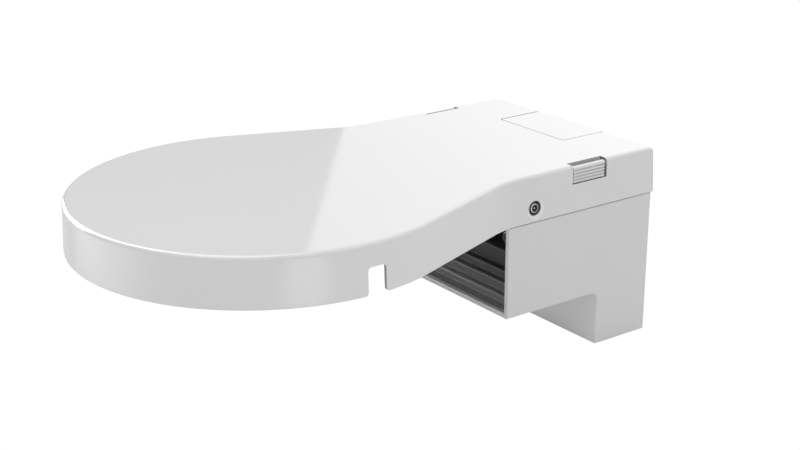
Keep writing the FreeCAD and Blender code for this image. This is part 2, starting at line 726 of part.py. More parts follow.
def makeFloorPlate():
    """Steel plate that spreads the load of the fixing bolts."""
    plate = block("plate", ("-110", "110"), ("-24", "24"), ("housingWall", "housingWall + 3"))
    holes = [rod("hole", "Z", "fixingHole", (f"{sign} * fixingSpacing / 2", "0", "housingWall - 1"), "6")
             for _, sign in SIDES]
    keep("floor_plate", cut("floor_plate", plate, *holes))


def makeRearCover():
    plate = block("plate", ("-101.6", "101.6"), ("rearY - 3", "rearY"), ("-48.6", "81.6"))
    tools = [
        rod("inlet_hole", "Y", "inletRadius + 0.3", ("inletX", "rearY - 5", "portZ"), "10"),
        rod("gland_hole", "Y", "8.3", ("glandX", "rearY - 5", "portZ"), "10"),
    ]
    ventCount, ventPitch, ventWidth = 9, 10, 4
    for i in range(ventCount):
        left = ventPitch * (i - (ventCount - 1) / 2) - ventWidth
        tools.append(block("vent", (f"{left}", f"{left + ventWidth}"), ("rearY - 5", "rearY + 5"),
                           ("10", "50")))
    heads = []
    for across in (-94, 94):
        for height in (-41, 74):
            tools.append(rod("hole", "Y", "1.8", (across, "rearY - 5", height), "10"))
            heads.append(joined("screw", rod("head", "Y", "3.4", (across, "rearY", height), "1.8"),
                                rod("stem", "Y", "1.6", (across, "rearY - 3", height), "4")))
    keep("rear_cover", cut("rear_cover", plate, *tools))
    group("rear_cover_screws", heads)


def makeDeck():
    body = newBody("deck")
    side = newSketch(body, "YZ")
    under = "ledgeTop"
    step = "ledgeTop + 2.5"
    lugTop = "seatAxisZ - 21"
    addOutline(side, [
        ("frontY + 4", under), ("rearY - housingWall - 0.4", under), ("rearY - housingWall - 0.4", step),
        ("deckRearY", step), ("deckRearY", "deckTop"), ("seatAxisY + 17", "deckTop"),
        ("seatAxisY + 12", lugTop), ("frontY + 4", lugTop)])
    addPad(body, side, "2 * deckHalf", symmetric=True)
    deckTop = size("deckTop")
    addRounding(body, "3", lambda middle, edge: abs(middle.z - deckTop) < 0.01)
    rim = newSketch(body, "XY", under)
    addRectangle(rim, "-housingHalf + housingWall + 0.4", "housingHalf - housingWall - 0.4",
                 "frontY + 4", "rearY - housingWall - 0.4")
    addPad(body, rim, "2.5")
    inside = newSketch(body, "YZ")
    addOutline(inside, [
        ("frontY + 6.5", "ledgeTop - 5"), ("deckRearY - 2.5", "ledgeTop - 5"),
        ("deckRearY - 2.5", "deckTop - 2.5"), ("seatAxisY + 19", "deckTop - 2.5"),
        ("seatAxisY + 14", "seatAxisZ - 23.5"),
        ("frontY + 6.5", "seatAxisZ - 23.5")])
    addPocket(body, inside, "2 * (deckHalf - 2.5)", symmetric=True)
    innerLug = newSketch(body, "YZ", "58")
    addRectangle(innerLug, "seatAxisY - 7", "seatAxisY + 7", "seatAxisZ - 22", "seatAxisZ")
    innerFoot = addPad(body, innerLug, "26")
    innerRound = newSketch(body, "YZ", "58")
    addCircle(innerRound, "seatAxisY", "seatAxisZ", "8")
    innerEye = addPad(body, innerRound, "26")
    outerLug = newSketch(body, "YZ", "112.2")
    addRectangle(outerLug, "seatAxisY - 6", "seatAxisY + 6", "ledgeTop + 1", "seatAxisZ")
    outerFoot = addPad(body, outerLug, "lugEnd - 112.2")
    outerRound = newSketch(body, "YZ", "112.2")
    addCircle(outerRound, "seatAxisY", "seatAxisZ", "7.5")
    outerEye = addPad(body, outerRound, "lugEnd - 112.2")
    addMirror(body, innerFoot, innerEye, outerFoot, outerEye)
    sockets = newSketch(body, "YZ", "60")
    addCircle(sockets, "seatAxisY", "seatAxisZ", "6.6")
    socket = addPocket(body, sockets, "24.5", back=True)
    ends = newSketch(body, "YZ", "110")
    addCircle(ends, "seatAxisY", "seatAxisZ", "seatPin + runFit")
    end = addPocket(body, ends, "lugEnd - 109", back=True)
    addMirror(body, socket, end)
    screws = []
    places = [(across, "lidAxisY - 17", "ledgeTop + 3.9") for across in (-90, -30, 30, 90)]
    places += [(across, along, "ledgeTop + 2.5") for across in (-117, 117) for along in (94, 107)]
    for place in places:
        screws.append(rod("screw", "Z", "3", place, "1.6"))
    group("deck_screws", screws)


def makeBay():
    """Stepped panel behind the open front, and the fascia that the wands come through."""
    body = newBody("bay_panel")
    side = newSketch(body, "YZ")
    noses = (15, 25.5, 34.5, 53)
    wall = size("panelWall")
    front = [
        ("frontY + 1.6", "housingWall + 0.3"), ("frontY + 1.6", "housingWall + 1.9"),
        ("bayFloorY", "housingWall + 1.9")]
    back = [(f"bayFloorY + {wall}", "housingWall + 0.3")]
    for i, nose in enumerate(noses):
        riser = f"bayFloorY + {i} * stepDepth"
        behind = f"bayFloorY + {i + 1} * stepDepth" if i < 3 else "fasciaY"
        front += [(riser, f"{nose}"), (behind, f"{nose}")]
        back += [(f"{riser} + {wall}", f"{nose - wall}")]
        if i < 3:
            back += [(f"{behind} + {wall}", f"{nose - wall}")]
    back.append(("fasciaY", f"{noses[-1] - wall}"))
    addOutline(side, front + back[::-1])
    addPad(body, side, "2 * (housingHalf - housingWall - 0.5)", symmetric=True)
    fronts = [size(f"bayFloorY + {i} * stepDepth") for i in range(4)]

    def isNose(middle, edge):
        return any(abs(middle.y - y) < 0.01 and abs(middle.z - z) < 0.01 for y, z in zip(fronts, noses))

    addRounding(body, "3", lambda middle, edge: isNose(middle, edge) and edge.BoundBox.XLength > 50)
    screws = []
    for across in (-112, -40, 40, 112):
        screws.append(rod("screw", "Z", "2.8", (across, "-10", "53"), "1.6"))
    group("bay_screws", screws)

    plate = block("plate", ("-housingHalf + housingWall + 0.5", "housingHalf - housingWall - 0.5"),
                  ("fasciaY", "fasciaY + panelWall"), ("50.5", "ledgeTop - 3.3"))
    tools = [wandRod("hole", sign, "sleeveRadius + 0.9", -30, 60) for _, sign in SIDES]
    tools.append(block("outlet", ("75", "99"), ("fasciaY - 1", "fasciaY + 4"), ("60", "82")))
    keep("bay_fascia", cut("bay_fascia", plate, *tools))


# Spray wands

def wandPoint(sign, back):
    """A point on a wand's axis, a distance behind the fascia."""
    slope = math.radians(size("wandAngle"))
    along = back * math.cos(slope)
    height = back * math.sin(slope)
    return (f"{sign} * wandSpread", f"fasciaY + {along}", f"wandZ + {height}")


def wandRod(label, sign, radius, front, length):
    lean = Rotation(Vector(1, 0, 0), size("wandAngle") - 90)
    return rod(label, "Y", radius, wandPoint(sign, front), length, lean)


def makeWands():
    for name, sign in (("rear_wash", 1), ("front_wash", -1)):
        sleeve = cut(f"{name}_sleeve", wandRod("tube", sign, "sleeveRadius", 0, 78),
                     wandRod("bore", sign, "wandRadius + runFit", -1, 90))
        keep(f"{name}_sleeve", sleeve)
        tube = cut(f"{name}_wand", wandRod("tube", sign, "wandRadius", -3, 80),
                   wandRod("bore", sign, "3", 8, 80))
        keep(f"{name}_wand", tube)
        tip = wandRod("tip", sign, "wandRadius + 1.2", -13, 10)
        jets = []
        for i in range(3):
            x, y, z = wandPoint(sign, -9 + 2 * i)
            jets.append(rod("jet", "Z", "0.6", (x, y, z), "12"))
        keep(f"{name}_tip", cut(f"{name}_tip", tip, *jets))
    cradle = block("cradle", ("-30", "30"), ("fasciaY + 8", "fasciaY + 46"), ("60", "118"))
    bores = [wandRod("bore", sign, "sleeveRadius + runFit", -20, 120) for _, sign in SIDES]
    keep("wand_guide", cut("wand_guide", cradle, *bores))
    motors = []
    for side, sign in SIDES:
        can = rod("can", "X", "11", ("30" if sign > 0 else "-44", "fasciaY + 27", "80"), "14")
        flange = block("flange", ("30", "32") if sign > 0 else ("-32", "-30"),
                       ("fasciaY + 15", "fasciaY + 39"), ("66", "94"))
        motors.append(joined(f"motor_{side}", can, flange))
    group("wand_motors", motors)


# Warm air

def makeDryer():
    """Fan in its case, with its wheel and motor, then the duct, the heater fins and the outlet door."""
    axis = ("fanX", "fanY", "fanZ")

    def onAxis(along):
        return (f"fanX + {along}", "fanY", "fanZ")

    case = rod("case", "X", "fanRadius", axis, "fanWidth")
    cavity = rod("cavity", "X", "fanRadius - fanWall", onAxis("2"), "fanWidth - 4")
    mouth = rod("mouth", "X", "14", onAxis("30"), "6")
    neck = block("neck", ("fanX + 2", "fanX + 32"), ("34", "64"), ("54", "78"))
    throat = block("throat", ("fanX + 2 + fanWall", "fanX + 32 - fanWall"), ("33", "62"),
                   ("54 + fanWall", "78 - fanWall"))
    shaftWay = rod("shaft_way", "X", "shaftRadius", onAxis("-1"), "4")
    keep("fan_case", cut("fan_case", joined("scroll", case, neck), cavity, throat, mouth, shaftWay))
    hub = rod("hub", "X", "8", onAxis("5"), "6")
    shaftHole = rod("shaft_hole", "X", "shaftRadius + runFit", onAxis("4"), "8")
    back = rod("back", "X", "wheelRadius", onAxis("5"), "2")
    bladeCount, bladeThick, bladeDepth = 18, 1, 5
    blades = []
    for i in range(bladeCount):
        blade = doc.addObject("Part::Box", "blade")
        blade.Length = 20
        blade.Width = bladeThick
        blade.Height = bladeDepth
        turn = Rotation(Vector(1, 0, 0), 360 / bladeCount * i)
        root = Vector(size("fanX + 6"), size("fanY"), size("fanZ"))
        out = turn.multVec(Vector(0, -bladeThick / 2, size("wheelRadius") - bladeDepth - 0.5))
        blade.Placement = FreeCAD.Placement(root + out, turn)
        blades.append(blade)
    keep("fan_impeller", cut("fan_impeller", joined("wheel", hub, back, *blades), shaftHole))
    can = rod("can", "X", "15", onAxis("-20"), "20")
    shaft = rod("shaft", "X", "shaftRadius", axis, "11")
    keep("fan_motor", joined("fan_motor", can, shaft))
    duct = block("duct", ("72", "102"), ("fasciaY + 3", "34"), ("54", "86"))
    bore = block("bore", ("74.4", "99.6"), ("fasciaY + 2", "35"), ("56.4", "83.6"))
    keep("air_duct", cut("air_duct", duct, bore))
    fins = [block("fin", ("76", "98"), ("20", "30"), (f"{58 + 3 * i}", f"{59 + 3 * i}")) for i in range(7)]
    rails = [block("rail", (f"{low}", f"{low + 1.6}"), ("20", "30"), ("57", "78")) for low in (74.6, 97.8)]
    keep("air_heater", joined("air_heater", *fins, *rails))
    hinge = rod("hinge", "X", "1.2", ("74", "fasciaY - 1.6", "84.6"), "26")
    leaf = block("leaf", ("74.4", "99.6"), ("fasciaY - 2.2", "fasciaY - 0.8"), ("59", "84"))
    keep("dryer_door", joined("dryer_door", hinge, leaf))


# Water

def makeWater():
    thread = rod("thread", "Y", "inletRadius", ("inletX", "rearY + 4", "portZ"), "14")
    collar = doc.addObject("Part::Prism", "collar")
    collar.Polygon = 6
    collar.Circumradius = 15
    collar.Height = 4
    collar.Placement = FreeCAD.Placement(Vector(), turns["Y"])
    for name, where in zip("xyz", ("inletX", "rearY", "portZ")):
        collar.setExpression(f".Placement.Base.{name}", bound(where))
    tail = rod("tail", "Y", "inletRadius", ("inletX", "rearY - 12", "portZ"), "12")
    way = rod("way", "Y", "7", ("inletX", "rearY - 14", "portZ"), "40")
    keep("inlet_fitting", cut("inlet_fitting", joined("inlet_body", thread, collar, tail), way))
    basket = rod("basket", "Y", "6.9", ("inletX", "rearY - 8", "portZ"), "20")
    inside = rod("inside", "Y", "5.6", ("inletX", "rearY - 6", "portZ"), "20")
    keep("inlet_strainer", cut("inlet_strainer", basket, inside))
    valveBlock = block("block", ("inletX - 14", "inletX + 14"), ("rearY - 42", "rearY - 12"),
                       ("portZ - 14", "portZ + 14"))
    coil = rod("coil", "Z", "11", ("inletX", "rearY - 28", "portZ + 14"), "22")
    keep("inlet_valve", joined("inlet_valve", valveBlock, coil))
    tank = block("tank", ("-112", "-46"), ("14", "62"), ("12", "88"))
    ports = [rod("port", "Y", "4", ("-60", "62", height), "8") for height in (24, 68)]
    keep("water_heater", joined("water_heater", tank, *ports))
    can = rod("can", "X", "17", ("-40", "106", "24"), "42")
    head = rod("head", "X", "13", ("2", "106", "24"), "16")
    keep("water_pump", joined("water_pump", can, head))
    valveBody = block("block", ("-22", "22"), ("96", "122"), ("58", "78"))
    outlets = [rod("outlet", "Y", "3.4", (across, "88", "68"), "8") for across in ("-12", "12")]
    dial = rod("dial", "Z", "10", ("0", "109", "78"), "8")
    keep("diverter", joined("diverter", valveBody, *outlets, dial))

    hoseOuter, hoseInner, tightBend, wideBend = 4, 2.5, 9, 12
    valveX = size("inletX") - 14
    portZ = size("portZ")
    hoseY, tankY, tankX = 106, 70, -60
    pipeAlong("feed_hose", [
        Vector(valveX, hoseY, portZ), Vector(34, hoseY, portZ),
        Vector(34, hoseY, 24), Vector(18, hoseY, 24)], tightBend, hoseOuter, hoseInner)
    pipeAlong("pump_hose", [
        Vector(-40, hoseY, 24), Vector(tankX, hoseY, 24), Vector(tankX, tankY, 24)],
        wideBend, hoseOuter, hoseInner)
    pipeAlong("heater_hose", [
        Vector(tankX, tankY, 68), Vector(tankX, 109, 68), Vector(-22, 109, 68)],
        wideBend, hoseOuter, hoseInner)


# Electrics

def makeElectrics():
    keep("power_supply", block("power_supply", ("-112", "-16"), ("74", "128"), ("-53", "-36")))
    boardFront = 127
    board = block("board", ("-100", "60"), (boardFront, boardFront + 1.6), ("26", "90"))
    components = (  # left edge, lower edge, width, height and depth
        (-84, 40, 18, 18, 4), (-50, 60, 24, 14, 6), (-10, 38, 12, 12, 8),
        (20, 64, 16, 16, 3), (30, 36, 20, 8, 10), (-60, 32, 10, 10, 9))
    chips = []
    for left, low, wide, tall, thick in components:
        chips.append(block("chip", (left, left + wide), (boardFront - thick, boardFront), (low, low + tall)))
    keep("control_board", joined("control_board", board, *chips))
    nut = rod("nut", "Y", "10", ("glandX", "rearY", "portZ"), "8")
    stub = rod("stub", "Y", "8", ("glandX", "rearY - 14", "portZ"), "14")
    way = rod("way", "Y", "glandBore", ("glandX", "rearY - 16", "portZ"), "30")
    keep("cable_gland", cut("cable_gland", joined("gland", nut, stub), way))
    can = rod("can", "Z", "20", ("-80", "50", "100"), "16")
    outlet = block("outlet", ("-100", "-84"), ("60", "82"), ("101", "114"))
    keep("deodoriser_fan", joined("deodoriser_fan", can, outlet))
    keep("carbon_filter", block("carbon_filter", ("-104", "-48"), ("-20", "22"), ("102", "126")))


makeLidShell()
makeAccessCover()
makeLidPanel()
for side, sign in SIDES:
    makeArm(side, sign)
    makeButton(side, sign)
    makeButtonSpring(side, sign)
makeSideScrews()
makeLidHinge()
makeLidBumpers()
makeSeatRing()
makeSeatHardware()
makeHousing()
makeBossInserts()
makeFloorPlate()
makeRearCover()
makeDeck()
makeBay()
makeWands()
makeDryer()
makeWater()
makeElectrics()
doc.recompute()

for item in doc.Objects:
    if "Invalid" in item.State or "Error" in item.State:
        raise RuntimeError(f"{item.Label} failed: {item.State}")
for name, item in nodes.items():
    if item.Shape.isNull() or not item.Shape.isValid() or not item.Shape.Solids:
        raise RuntimeError(f"{name} has no valid solid")

os.makedirs("parts", exist_ok=True)
for name, item in nodes.items():
    item.Shape.exportStep(f"parts/{name}.step")
    print(name, len(item.Shape.Solids), "solids")
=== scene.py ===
import json
import math

import bmesh
import bpy
from mathutils import Matrix, Vector


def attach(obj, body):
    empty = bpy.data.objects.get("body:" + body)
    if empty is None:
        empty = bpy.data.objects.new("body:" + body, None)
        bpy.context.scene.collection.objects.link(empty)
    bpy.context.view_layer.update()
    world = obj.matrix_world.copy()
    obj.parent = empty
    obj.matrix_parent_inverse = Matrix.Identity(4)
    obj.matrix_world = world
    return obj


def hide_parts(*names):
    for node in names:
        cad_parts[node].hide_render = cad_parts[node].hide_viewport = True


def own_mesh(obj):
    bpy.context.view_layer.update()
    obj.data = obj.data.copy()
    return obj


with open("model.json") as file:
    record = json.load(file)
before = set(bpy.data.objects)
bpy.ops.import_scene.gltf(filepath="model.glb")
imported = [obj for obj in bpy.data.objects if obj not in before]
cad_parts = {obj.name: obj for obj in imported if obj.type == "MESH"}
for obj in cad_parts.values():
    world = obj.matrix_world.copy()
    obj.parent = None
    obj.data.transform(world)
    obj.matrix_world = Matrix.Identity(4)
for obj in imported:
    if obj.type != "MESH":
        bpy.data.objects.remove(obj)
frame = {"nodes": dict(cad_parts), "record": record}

# Electric bidet seat with a full-length lid. Metres, +Z up, front towards -Y.

nodes = frame["nodes"]
slotOf = {part["node"]: part["material_slot"] for part in frame["record"]["subparts"]}
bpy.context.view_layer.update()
mm = 0.001
sides = (("right", 1), ("left", -1))


camera = {
    "place": (1.2084, -0.9910, 0.6083),
    "azimuth": 53.748,  # degrees round from straight ahead
    "elevation": 19.594,
    "lens": 67.1,
}


def makeCamera():
    data = bpy.data.cameras.new("studioCamera")
    data.lens = camera["lens"]
    data.sensor_width = 36
    data.sensor_fit = "HORIZONTAL"
    data.clip_end = 50
    view = bpy.data.objects.new("studioCamera", data)
    view.location = camera["place"]
    view.rotation_euler = (math.radians(90 - camera["elevation"]), 0, math.radians(camera["azimuth"]))
    bpy.context.scene.collection.objects.link(view)
    bpy.context.scene.camera = view


class Socket:
    # one output of a shader node; sums on sockets add Math nodes
    def __init__(self, tree, output):
        self.tree = tree
        self.output = output

    def worked(self, operation, *values):
        node = self.tree.nodes.new("ShaderNodeMath")
        node.operation = operation
        for i, value in enumerate(values):
            feed(self.tree, value, node.inputs[i])
        return Socket(self.tree, node.outputs[0])

    def __add__(self, other):
        return self.worked("ADD", self, other)

    def __radd__(self, other):
        return self.worked("ADD", other, self)

    def __sub__(self, other):
        return self.worked("SUBTRACT", self, other)

    def __rsub__(self, other):
        return self.worked("SUBTRACT", other, self)

    def __mul__(self, other):
        return self.worked("MULTIPLY", self, other)

    def __rmul__(self, other):
        return self.worked("MULTIPLY", other, self)

    def __gt__(self, other):
        return self.worked("GREATER_THAN", self, other)

    def __abs__(self):
        return self.worked("ABSOLUTE", self)


def feed(tree, value, target):
    if isinstance(value, Socket):
        tree.links.new(value.output, target)
    elif value is not None:
        target.default_value = value


class Finish:
    # a material under construction
    def __init__(self, name):
        self.material = bpy.data.materials.new(name)
        self.material.use_nodes = True
        self.tree = self.material.node_tree
        self.tree.nodes.clear()

    def node(self, kind, settings=None, values=None, output=0):
        made = self.tree.nodes.new("ShaderNode" + kind)
        for key, value in (settings or {}).items():
            setattr(made, key, value)
        for key, value in (values or {}).items():
            feed(self.tree, value, made.inputs[key])
        return Socket(self.tree, made.outputs[output])

    def place(self, stretch=(1, 1, 1)):
        where = self.node("TexCoord", output=3)
        return self.node("Mapping", {}, {"Vector": where, "Scale": stretch})

    def noise(self, scale, detail=3, stretch=(1, 1, 1), roughness=0.5):
        return self.node("TexNoise", {}, {
            "Vector": self.place(stretch), "Scale": scale, "Detail": detail, "Roughness": roughness})

    def waves(self, scale, direction="X", distortion=0, profile="SIN"):
        settings = {"bands_direction": direction, "wave_profile": profile}
        values = {"Vector": self.place(), "Scale": scale, "Distortion": distortion}
        return self.node("TexWave", settings, values, output=1)

    def blended(self, low, high, amount):
        ends = {"Factor": amount, 6: (*low, 1), 7: (*high, 1)}
        return self.node("Mix", {"data_type": "RGBA"}, ends, output=2)

    def grainy(self, height, strength, distance):
        return self.node("Bump", {}, {"Height": height, "Strength": strength, "Distance": distance})

    def surface(self, **values):
        labels = {"colour": "Base Color", "roughness": "Roughness", "metal": "Metallic", "normal": "Normal",
                  "ior": "IOR"}
        shader = self.node("BsdfPrincipled", {}, {labels[key]: value for key, value in values.items()})
        return self.ended(shader)

    def ended(self, shader):
        end = self.tree.nodes.new("ShaderNodeOutputMaterial")
        self.tree.links.new(shader.output, end.inputs["Surface"])
        return self.material


glossWhite = {"shade": (0.838, 0.838, 0.838), "light": (0.860, 0.858, 0.857), "roughness": 0.045}
satinWhite = {"shade": (0.805, 0.805, 0.805), "light": (0.832, 0.830, 0.829), "roughness": 0.30}
darkMoulding = {"shade": (0.006, 0.006, 0.0065), "light": (0.010, 0.010, 0.011), "roughness": 0.38}
stepPaintedLight = {"low": (0.235, 0.235, 0.238), "high": (0.026, 0.026, 0.027), "roughness": 0.42,
                "from": 5 * mm, "to": 34 * mm}  # heights between which painted light on the low treads gives way to painted shade
greyMoulding = {"shade": (0.22, 0.22, 0.23), "light": (0.28, 0.28, 0.29), "roughness": 0.42}


def toned(colour, tone):
    return [tone * part for part in colour]


def makeGlossWhite(name="whiteGloss", tone=1.0):
    made = Finish(name)
    cloud = made.noise(9, 2)  # slow change of tone across a large moulding
    peel = made.noise(260, 2)  # the faint ripple of a moulded gloss skin
    return made.surface(
        colour=made.blended(toned(glossWhite["shade"], tone), toned(glossWhite["light"], tone), cloud),
        roughness=glossWhite["roughness"] + cloud * 0.03,
        ior=1.5,
        normal=made.grainy(peel, 0.012, 0.001))


def makeSatinWhite(name="whiteSatin"):
    made = Finish(name)
    cloud = made.noise(14, 2)
    grain = made.noise(1900, 4, roughness=0.6)  # fine spark-eroded texture
    return made.surface(
        colour=made.blended(satinWhite["shade"], satinWhite["light"], cloud * 0.6 + grain * 0.4),
        roughness=satinWhite["roughness"] + grain * 0.12,
        normal=made.grainy(grain, 0.05, 0.0005))


def makeDark(name="darkPlastic", tone=2.4):
    made = Finish(name)
    grain = made.noise(2200, 4, roughness=0.65)
    cloud = made.noise(22, 3)
    return made.surface(
        colour=made.blended(toned(darkMoulding["shade"], tone), toned(darkMoulding["light"], tone),
                            grain * 0.6 + cloud * 0.4),
        roughness=darkMoulding["roughness"] + grain * 0.14,
        normal=made.grainy(grain, 0.12, 0.0005))


def makeStepPlastic(name="stepPlastic"):
    # dark moulding with painted light: paler on its lowest treads, where more light reaches into the bay, and
    # painted shade higher up
    made = Finish(name)
    grain = made.noise(2200, 4, roughness=0.65)
    height = made.node("SeparateXYZ", {}, {0: made.node("TexCoord", output=3)}, output=2)
    span = stepPaintedLight["to"] - stepPaintedLight["from"]
    rise = (height - stepPaintedLight["from"]) * (1 / span) + (grain - 0.5) * 0.12
    share = made.node("Clamp", {}, {"Value": rise})
    return made.surface(
        colour=made.blended(stepPaintedLight["low"], stepPaintedLight["high"], share),
        roughness=stepPaintedLight["roughness"] + grain * 0.12,
        normal=made.grainy(grain, 0.12, 0.0005))


def makeGrey(name="greyPlastic"):
    made = Finish(name)
    grain = made.noise(1500, 4)
    cloud = made.noise(30, 3)
    return made.surface(
        colour=made.blended(greyMoulding["shade"], greyMoulding["light"], grain * 0.4 + cloud * 0.6),
        roughness=greyMoulding["roughness"] + grain * 0.12,
        normal=made.grainy(grain, 0.1, 0.0005))


def makeMetal(name, low, high, roughness, scale=900, stretch=(0.02, 1, 1), strength=0.08):
    made = Finish(name)
    lines = made.noise(scale, 3, stretch)  # drawn-out noise stands for the brushing
    stain = made.noise(25, 3)
    return made.surface(
        colour=made.blended(low, high, lines * 0.7 + stain * 0.3),
        metal=1.0,
        roughness=roughness + lines * 0.14 + stain * 0.04,
        normal=made.grainy(lines, strength, 0.0004))


def makeScrewSteel(name, limit, bright, dark):
    # dark up to a radius round the side screw's axis, bright steel past it
    made = Finish(name)
    spot = made.node("Mapping", {"vector_type": "POINT"}, {
        "Vector": made.node("TexCoord", output=3),
        "Location": (0, -sideScrew["y"], -sideScrew["z"]), "Scale": (0, 1, 1)})
    away = made.node("VectorMath", {"operation": "LENGTH"}, {0: spot}, output=1)
    darkInside = 1 - (away > limit)
    turning = made.noise(700, 3)
    return made.surface(
        colour=made.blended(bright, dark, darkInside * 0.92 + turning * 0.08),
        metal=1.0,
        roughness=0.16 + turning * 0.1 + darkInside * 0.1,
        normal=made.grainy(turning, 0.03, 0.0003))


def makeWhiteRubber(name="whiteRubber"):
    made = Finish(name)
    grain = made.noise(1300, 5)
    return made.surface(
        colour=made.blended((0.60, 0.60, 0.59), (0.70, 0.70, 0.69), grain),
        roughness=0.6 + grain * 0.2,
        normal=made.grainy(grain, 0.2, 0.0005))


def makeHeaterFoil(name="copperFoil"):
    made = Finish(name)
    track = made.waves(26, "Y", 1.2, "TRI")  # heating track laid to and fro on the foil
    wrinkle = made.noise(160, 4)
    onTrack = track > 0.62
    return made.surface(
        colour=made.blended((0.62, 0.62, 0.63), (0.72, 0.36, 0.18), onTrack),
        metal=1.0,
        roughness=0.28 + wrinkle * 0.2,
        normal=made.grainy(wrinkle + onTrack * 0.6, 0.35, 0.0005))


def makeBoard(name="boardGreen"):
    made = Finish(name)
    cells = made.node("TexVoronoi", {"distance": "CHEBYCHEV"}, {
        "Vector": made.place((1, 0.2, 1)), "Scale": 130})
    tracks = made.waves(60, "X", 6, "SAW")
    pad = 1 - (cells > 0.22)
    line = tracks > 0.86
    lacquer = made.blended((0.01, 0.13, 0.05), (0.03, 0.24, 0.10), line)
    tin = (0.75, 0.73, 0.68, 1)
    return made.surface(
        colour=made.node("Mix", {"data_type": "RGBA"}, {"Factor": pad, 6: lacquer, 7: tin}, output=2),
        roughness=0.32 + pad * 0.1,
        normal=made.grainy(line + pad, 0.25, 0.0003))


def makeHose(name="siliconeHose"):
    made = Finish(name)
    mist = made.noise(90, 3)
    skin = made.noise(900, 3)
    return made.surface(
        colour=made.blended((0.62, 0.65, 0.66), (0.74, 0.76, 0.77), mist),
        roughness=0.3 + skin * 0.2,
        normal=made.grainy(skin, 0.1, 0.0005))


def makeFilter(name="filterPleats"):
    made = Finish(name)
    pleat = made.waves(70, "X", 0.3)
    fibre = made.noise(1500, 5)
    return made.surface(
        colour=made.blended((0.012, 0.012, 0.012), (0.06, 0.06, 0.06), pleat * 0.6 + fibre * 0.4),
        roughness=0.75 + fibre * 0.15,
        normal=made.grainy(pleat + fibre * 0.3, 0.6, 0.002))


def makeFinishes():
    return {
        "white_gloss": makeGlossWhite(),
        # painted shade: a slightly darker copy of the gloss white for the walls of the button recess
        "recess_painted_shade": makeGlossWhite("recessWhite", 0.97),
        # painted shade: a much darker copy of the gloss white for the deep gaps of the recess and the notch
        "gap_painted_shade": makeGlossWhite("gapWhite", 0.36),
        # painted shade: a near-black copy of the gloss white for the narrow gaps round the access cover and
        # the buttons
        "seam_painted_shade": makeGlossWhite("seamWhite", 0.08),
        # painted highlight: a brighter copy of the gloss white for the cone round the side screw
        "ring_painted_highlight": makeGlossWhite("ringWhite", 1.15),
        "white_satin": makeSatinWhite(),
        "dark_plastic": makeDark(),
        # painted shade: a much darker copy of the dark plastic for the fascia high in the bay
        "fascia_painted_shade": makeDark("fasciaPlastic", 0.5),
        # painted light on the low treads of the bay panel, painted shade above
        "step_plastic": makeStepPlastic(),
        "grey_plastic": makeGrey(),
        "stainless": makeMetal("stainlessSteel", (0.50, 0.51, 0.52), (0.64, 0.65, 0.66), 0.22),
        "polished_steel": makeMetal("polishedSteel", (0.60, 0.61, 0.62), (0.72, 0.73, 0.74), 0.10,
                                    600, (1, 1, 1), 0.02),
        "cup_steel": makeScrewSteel("cupSteel", 7.65 * mm, (0.62, 0.63, 0.64), (0.045, 0.046, 0.05)),
        "screw_steel": makeScrewSteel("screwSteel", 4.0 * mm, (0.66, 0.67, 0.68), (0.05, 0.05, 0.055)),
        "black_steel": makeMetal("blackSteel", (0.05, 0.05, 0.055), (0.09, 0.09, 0.095), 0.32,
                                 900, (1, 1, 1), 0.05),
        "brass": makeMetal("turnedBrass", (0.62, 0.46, 0.22), (0.78, 0.60, 0.32), 0.2, 1400, (1, 0.05, 1)),
        "aluminium": makeMetal("finAluminium", (0.56, 0.57, 0.58), (0.70, 0.71, 0.72), 0.3),
        "rubber_white": makeWhiteRubber(),
        "copper_foil": makeHeaterFoil(),
        "board_green": makeBoard(),
        "hose": makeHose(),
        "filter": makeFilter(),
    }


def toMesh(name, points, faces):
    mesh = bpy.data.meshes.new(name)
    mesh.from_pydata([Vector(point) for point in points], [], faces)
    piece = bpy.data.objects.new(name, mesh)
    bpy.context.scene.collection.objects.link(piece)
    return piece


def settle(piece):
    # turns the modifiers' result into the piece's own plain mesh
    bpy.context.view_layer.update()
    depsgraph = bpy.context.evaluated_depsgraph_get()
    baked = bpy.data.meshes.new_from_object(piece.evaluated_get(depsgraph), depsgraph=depsgraph)
    baked.name = piece.name
    piece.modifiers.clear()
    old = piece.data
    piece.data = baked
    if old.users == 0:
        bpy.data.meshes.remove(old)


def discard(piece):
    bpy.data.objects.remove(piece, do_unlink=True)


def combine(piece, tool, operation="DIFFERENCE"):
    step = piece.modifiers.new("combine", "BOOLEAN")
    step.operation = operation
    step.solver = "EXACT"
    step.object = tool
    settle(piece)
    discard(tool)


def soften(piece, width, segments=2, angle=38, smooth=32):
    # small rounded edges, and normals that keep the flats flat
    if width:
        edge = piece.modifiers.new("edge", "BEVEL")
        edge.width = width
        edge.segments = segments
        edge.limit_method = "ANGLE"
        edge.angle_limit = math.radians(angle)
        edge.harden_normals = False
        edge.miter_outer = "MITER_ARC"
        settle(piece)
    piece.data.shade_smooth()
    piece.data.set_sharp_from_angle(angle=math.radians(smooth))
    flat = piece.modifiers.new("flat", "WEIGHTED_NORMAL")
    flat.mode = "FACE_AREA"
    flat.weight = 80
    flat.keep_sharp = True
    settle(piece)


def slab(low, high):
    corners = [(x, y, z) for x in (low[0], high[0]) for y in (low[1], high[1]) for z in (low[2], high[2])]
    faces = [(0, 1, 3, 2), (4, 6, 7, 5), (0, 4, 5, 1), (2, 3, 7, 6), (0, 2, 6, 4), (1, 5, 7, 3)]
    return toMesh("tool", corners, faces)


def sideSlab(sign, across, along, upright):
    # a block between two x, two y and two z; a sign of -1 mirrors it to the left
    low, high = sorted(sign * x for x in across)
    return slab((low, along[0], upright[0]), (high, along[1], upright[1]))


